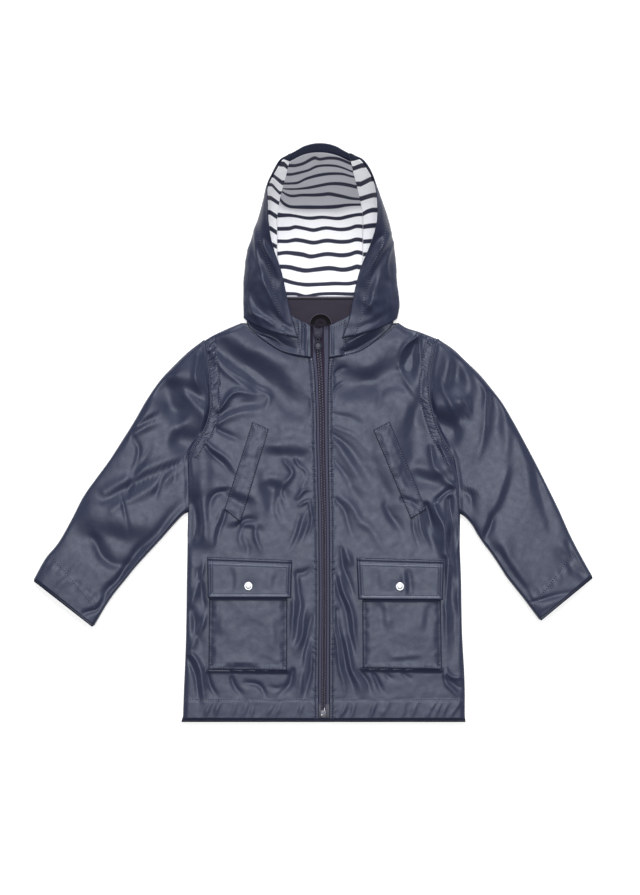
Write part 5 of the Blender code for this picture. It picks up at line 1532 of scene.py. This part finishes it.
collarFolds = [
    (-98, 175, -63, 154, -33, 140, 5, -2.4, 0.3, 0.2),
    (-90, 182, -60, 168, -38, 158, 4, 1.6, 0.4, 0.2),
    (35, 137, 63, 147, 91, 168, 6, -2.8, 0.2, 0.3),
    (40, 150, 64, 162, 84, 180, 4, 1.6, 0.4, 0.2),
    (-24, 186, -23, 164, -22, 142, 2.2, -2.6, 0.4, 0.9),
    (-17, 132, -18, 152, -18, 176, 1.8, 0.9, 0.4, 0.8),
    (19, 134, 18, 152, 17, 174, 1.6, -0.9, 0.3, 0.8),
    (-50, 178, -44, 170, -36, 172, 4, -1.6, 0.3, 0.3),
    (44, 176, 52, 172, 60, 178, 4, -1.4, 0.3, 0.3),
]
collarSeams = [((-31.5, 180), (-28.5, 132)), ((35.0, 180), (33.5, 132))]


def buildCollar():
    band = [(sign * seamX, seamY, seamZ, sign * topX, topY, topZ)
            for sign, sections in ((-1, collarSections), (1, collarSections[-2::-1]))
            for seamX, seamY, seamZ, topX, topY, topZ in sections]
    rows = blendRows(band, collar["round"])
    share = np.linspace(0, 1, collar["high"] + 1)[None, :, None]
    inner = rows[:, None, :3] + share * (rows[:, None, 3:] - rows[:, None, :3])
    places, outward = inner[..., :2], normals(inner)
    shape = 1.7 * foldField(collarFolds, places, seeds["collarFold"]) + 0.8 * crumple(places, seeds["collarCrumple"])
    groove, wide = collar["seam"]
    for line in collarSeams:
        shape -= groove * hump(nearPath(line, places)[0], 0, wide)
    outer = inner + outward * (collar["lift"] + shape * step(outward[..., 2], 0.2, 0.8))[..., None]
    down = outer[:, 0] - outer[:, 1]
    outer[:, 0] += down / np.maximum(np.linalg.norm(down, axis=-1, keepdims=True), 1e-6) * collar["overlap"]
    clothPiece("collarBand", outer, "coat", "collar", wall=collar["wall"])
    on = skin(outer)
    for start, end in collar["stitched"]:
        sew("hoodStitches", outer[start:end, collar["stitchRow"]], on)
    for line in collarSeams:
        sew("hoodStitches", line, on)


def buildFacing():
    columns, rows = facing["cells"]
    x = np.linspace(-facing["halfWidth"], facing["halfWidth"], columns)
    y = np.linspace(facing["lowY"], facing["topY"], rows)
    grid = np.dstack([*np.meshgrid(x, y), np.full((rows, columns), facing["topZ"])])
    below = facing["topY"] - grid[..., 1]
    grid[..., 2] += 0.5 * wave(grid[..., :2], 15, seeds["facing"]) * step(below, 5, 9) - 0.5 * hump(below, 5, 1.5)
    clothPiece("collarFacing", grid, "plum", "collar_facing", wall=cloth["jersey"],
               uv=grid[..., :2])


def buildChinGuard():
    rings, steps = chin["cells"]
    angle = np.linspace(math.pi, 0, steps)
    grid = np.array([np.column_stack([chin["x"] + chin["halfWidth"] * r * np.cos(angle),
                                      chin["y"] + chin["height"] * r * np.sin(angle),
                                      np.full(steps, chin["lowZ"] + chin["rise"] * r**2)])
                     for r in np.linspace(0.2, 1, rings)])
    share = (grid[..., :2] - (chin["x"], chin["y"])) / (chin["halfWidth"], chin["height"])
    clothPiece("chinGuard", grid, "guard", "chin_guard", wall=cloth["jersey"],
               uv=share / mm)


buildCollar()
buildFacing()
buildChinGuard()
print("collar made")


# Zip

tape = {"cut": (0.013, 0.552), "ease": 1.09, "topZ": 4.9, "thick": 0.9, "under": 3.0, "cells": (8, 260), "topY": 181,
        "shown": 7.3, "inner": 0.35, "sway": (0.25, 9)}
teeth = {"pitch": 3.6, "out": 1.85, "wide": 1.35, "long": 2.5, "high": 2.2, "topZ": 6.3, "lowY": -362, "highY": 158,
         "lean": 0.25}
slider = {"y": 163.5, "length": 15, "width": 13.6, "plate": 1.1, "topZ": 7.6, "lowZ": 2.0, "taper": 0.97,
          "postY": 167, "bridgeY": 159, "bridgeEnd": 3.1, "bridgeHalf": 3.8, "bridgeZ": (9.75, 10.4, 10.9)}
pull = {"axisZ": 8.75, "discY": 145.8, "radius": 5.9, "thick": 1.5, "armX": 2.4, "arm": 0.55, "bar": (2.8, 0.5)}
pullFace = [(0, 0.5), (3.1, 0.5), (3.5, 0.35), (3.6, 0.1), (3.6, -0.1)]
foot = {"y": -369, "head": (4.1, 5.4), "headZ": (5.4, 7.0), "neck": (3.0, 4.9), "neckZ": (2.5, 5.6),
        "stud": (-2.1, -1.6), "ribZ": (6.6, 7.7), "film": (-374.4, -356), "filmZ": (-0.1, 0.45),
        "filmFrom": 3.4, "filmPast": 1.2, "filmAt": -368}
studProfile = [(0, 8.1), (1.0, 7.9), (1.7, 7.3), (1.9, 6.7), (1.9, 6.2)]
ribOutline = [(0.1, -366.6), (1.3, -366.6), (2.6, -360.8), (1.4, -360.8)]


def xOn(line, y):  # where a line that runs up the coat is, at each y
    path = smoothLine(line, 60)[::-1]
    return np.interp(y, path[:, 1], path[:, 0])


def buildTapes():
    y = np.linspace(body["hem"] + 2, tape["topY"], tape["cells"][1])
    middle = xOn(zipLine, y)
    share = np.linspace(0, 1, tape["cells"][0] + 1)
    high, long = tape["sway"]
    for side, sign in sides.items():
        edge = xOn([(frontEdge[side][0][0], tape["topY"]), *frontEdge[side]], y)
        outer, inner = edge + sign * tape["under"], middle + sign * tape["inner"]
        x = inner[:, None] + share[None] * (outer - inner)[:, None]
        z = np.full(x.shape, tape["topZ"]) + high * np.sin(y / long)[:, None] * share[None]
        points = np.dstack([x, np.repeat(y[:, None], x.shape[1], axis=1), z])
        points = points if side == "right" else points[:, ::-1]
        beside = (points[..., 0] - middle[:, None]) / (edge - middle)[:, None] * tape["shown"]
        clothPiece(f"zipTape{side.title()}", points, "tape", f"zip_tape_{side}",
                   surfaceArea(points) * tape["ease"], tape["thick"], uv=np.dstack([beside, points[..., 1]]))


def buildTeeth():
    points = []
    for side, sign in sides.items():
        start = teeth["lowY"] + (0 if side == "left" else teeth["pitch"] / 2)
        for y in np.arange(start, teeth["highY"], teeth["pitch"]):
            x = float(xOn(zipLine, y))
            run = Vector((float(xOn(zipLine, y + 2) - xOn(zipLine, y - 2)), 4, 0)).normalized()
            lean = Vector((sign * teeth["lean"], 0, 1)).normalized()
            points.append((Vector((x + sign * teeth["out"], y, teeth["topZ"] - teeth["high"] / 2)), run, lean))
    place(grown("zipTeeth", toothTree, teeth, points, "teeth"), ["zip_chain"])


def solidPart(name, outline, low, high, look="darkMetal", bevel=0.35, segments=2):  # a plate with rounded edges
    bm = bmesh.new()
    face = bm.faces.new([bm.verts.new((x * mm, y * mm, low * mm)) for x, y in outline])
    raised = bmesh.ops.extrude_face_region(bm, geom=[face])["geom"]
    top = [v for v in raised if isinstance(v, bmesh.types.BMVert)]
    bmesh.ops.translate(bm, verts=top, vec=(0, 0, (high - low) * mm))
    bmesh.ops.recalc_face_normals(bm, faces=bm.faces)
    made = linkedMesh(name, bm, looks[look])
    soften = made.modifiers.new("edges", "BEVEL")
    soften.width, soften.segments, soften.limit_method = bevel * mm, segments, "ANGLE"
    return made


def joinParts(name, parts):  # one plain mesh of several, with the first one's finish
    graph = bpy.context.evaluated_depsgraph_get()
    finish = parts[0].data.materials[0]
    bm = bmesh.new()
    for part in parts:
        bm.from_mesh(bpy.data.meshes.new_from_object(part.evaluated_get(graph)))
    for part in parts:
        bpy.data.objects.remove(part)
    return linkedMesh(name, bm, finish)


def buildSlider():
    y, plate, low, top = (slider[key] for key in ("y", "plate", "lowZ", "topZ"))
    x = float(xOn(zipLine, y))
    half, long = slider["width"] / 2, slider["length"] / 2
    shape = [(-half, long), (-half * 0.72, long + 0.6), (-1.2, long - 1.5), (1.2, long - 1.5),
             (half * 0.72, long + 0.6), (half, long), (half * 0.98, 1), (half * 0.8, -long + 1), (half * 0.6, -long),
             (-half * 0.6, -long), (-half * 0.8, -long + 1), (-half * 0.98, 1)]
    outline = [(x + across, y + up * slider["taper"]) for across, up in shape][::-1]
    bridgeLow, endTop, bridgeTop = slider["bridgeZ"]
    parts = [solidPart("sliderTop", outline, top - plate, top), solidPart("sliderLow", outline, low, low + plate),
             solidPart("sliderPost", square(x, slider["postY"], 1.1, 2), low + 0.5, top - 0.5)]
    for sign in (-1, 1):
        end = square(x, slider["bridgeY"] + sign * slider["bridgeEnd"], 1.2, 0.7)
        parts.append(solidPart("bridgeEnd", end, top - 0.3, endTop))
    bridge = square(x, slider["bridgeY"], 1.2, slider["bridgeHalf"])
    parts.append(solidPart("bridgeTop", bridge, bridgeLow, bridgeTop, bevel=0.5, segments=3))
    place(joinParts("zipSlider", parts), ["zip_slider"])


def buildPull():
    x = float(xOn(zipLine, slider["y"]))
    z, thick, r, centre = pull["axisZ"], pull["thick"] / 2, pull["radius"], (x, pull["discY"])
    profile = [(0, z + thick - 0.5), (r - 1.7, z + thick - 0.5), (r - 1.35, z + thick - 0.15), (r - 1.0, z + thick),
               (r - 0.35, z + thick), (r - 0.05, z + thick - 0.3), (r, z), (r - 0.05, z - thick + 0.3),
               (r - 0.35, z - thick), (0.01, z - thick)]
    parts = [turned("pullDisc", profile, centre, "darkMetal", [], owner="pull")]
    low, high = pull["discY"] + r - 1.2, slider["bridgeY"] + 0.5
    for sign in (-1, 1):
        arm = square(x + sign * pull["armX"], (low + high) / 2, 0.5, (high - low) / 2)
        parts.append(solidPart("pullArm", arm, z - pull["arm"], z + pull["arm"], bevel=0.3, segments=3))
    bar = square(x, slider["bridgeY"], *pull["bar"])
    parts.append(solidPart("pullBar", bar, z - 0.5, z + 0.5, bevel=0.3, segments=3))
    place(joinParts("pullTab", parts), ["zip_pull"], "pull")
    turned("pullFace", [(away, z + up) for away, up in pullFace], centre, "pullFace", ["zip_pull"],
           owner="pull")


def buildFoot():
    y = foot["y"]
    x = float(xOn(zipLine, y))
    parts = [solidPart("boxHead", square(x, y, *foot["head"]), *foot["headZ"], "boxMetal", 0.5, 3),
             solidPart("boxNeck", square(x, y, *foot["neck"]), *foot["neckZ"], "boxMetal")]
    place(joinParts("zipBox", parts), ["zip_box"])
    across, up = foot["stud"]
    turned("boxStud", studProfile, (x + across, y + up), "brightMetal", ["zip_box"], steps=20)
    rib = solidPart("boxRib", [(x + px, py) for px, py in ribOutline], *foot["ribZ"], "brightMetal")
    place(rib, ["zip_box"])
    low, high = foot["film"]
    under, over = (tape["topZ"] + z for z in foot["filmZ"])
    for side, sign in sides.items():
        edge = float(xOn(frontEdge[side], foot["filmAt"])) + sign * foot["filmPast"]
        near, far = sorted((x + sign * foot["filmFrom"], edge))
        film = solidPart(f"tapeEnd{side.title()}", [(near, low), (far, low), (far, high), (near, high)],
                         under, over, "tapeEnd", 0.15)
        place(film, [])


buildTapes()
buildTeeth()
buildSlider()
buildPull()
buildFoot()
print("zip made")

for group, points in sewn.items():
    atEdge = group == "edgeStitches"
    size = {**thread, "wide": thread["edgeWide"]} if atEdge else thread
    place(grown(group, stitchTree, size, points, "edgeThread" if atEdge else "thread"), [])
place(grown("needleHoleShadows", stitchTree, needle, needled, "needle"), [])
print("stitches made:", {group: len(points) for group, points in sewn.items()})
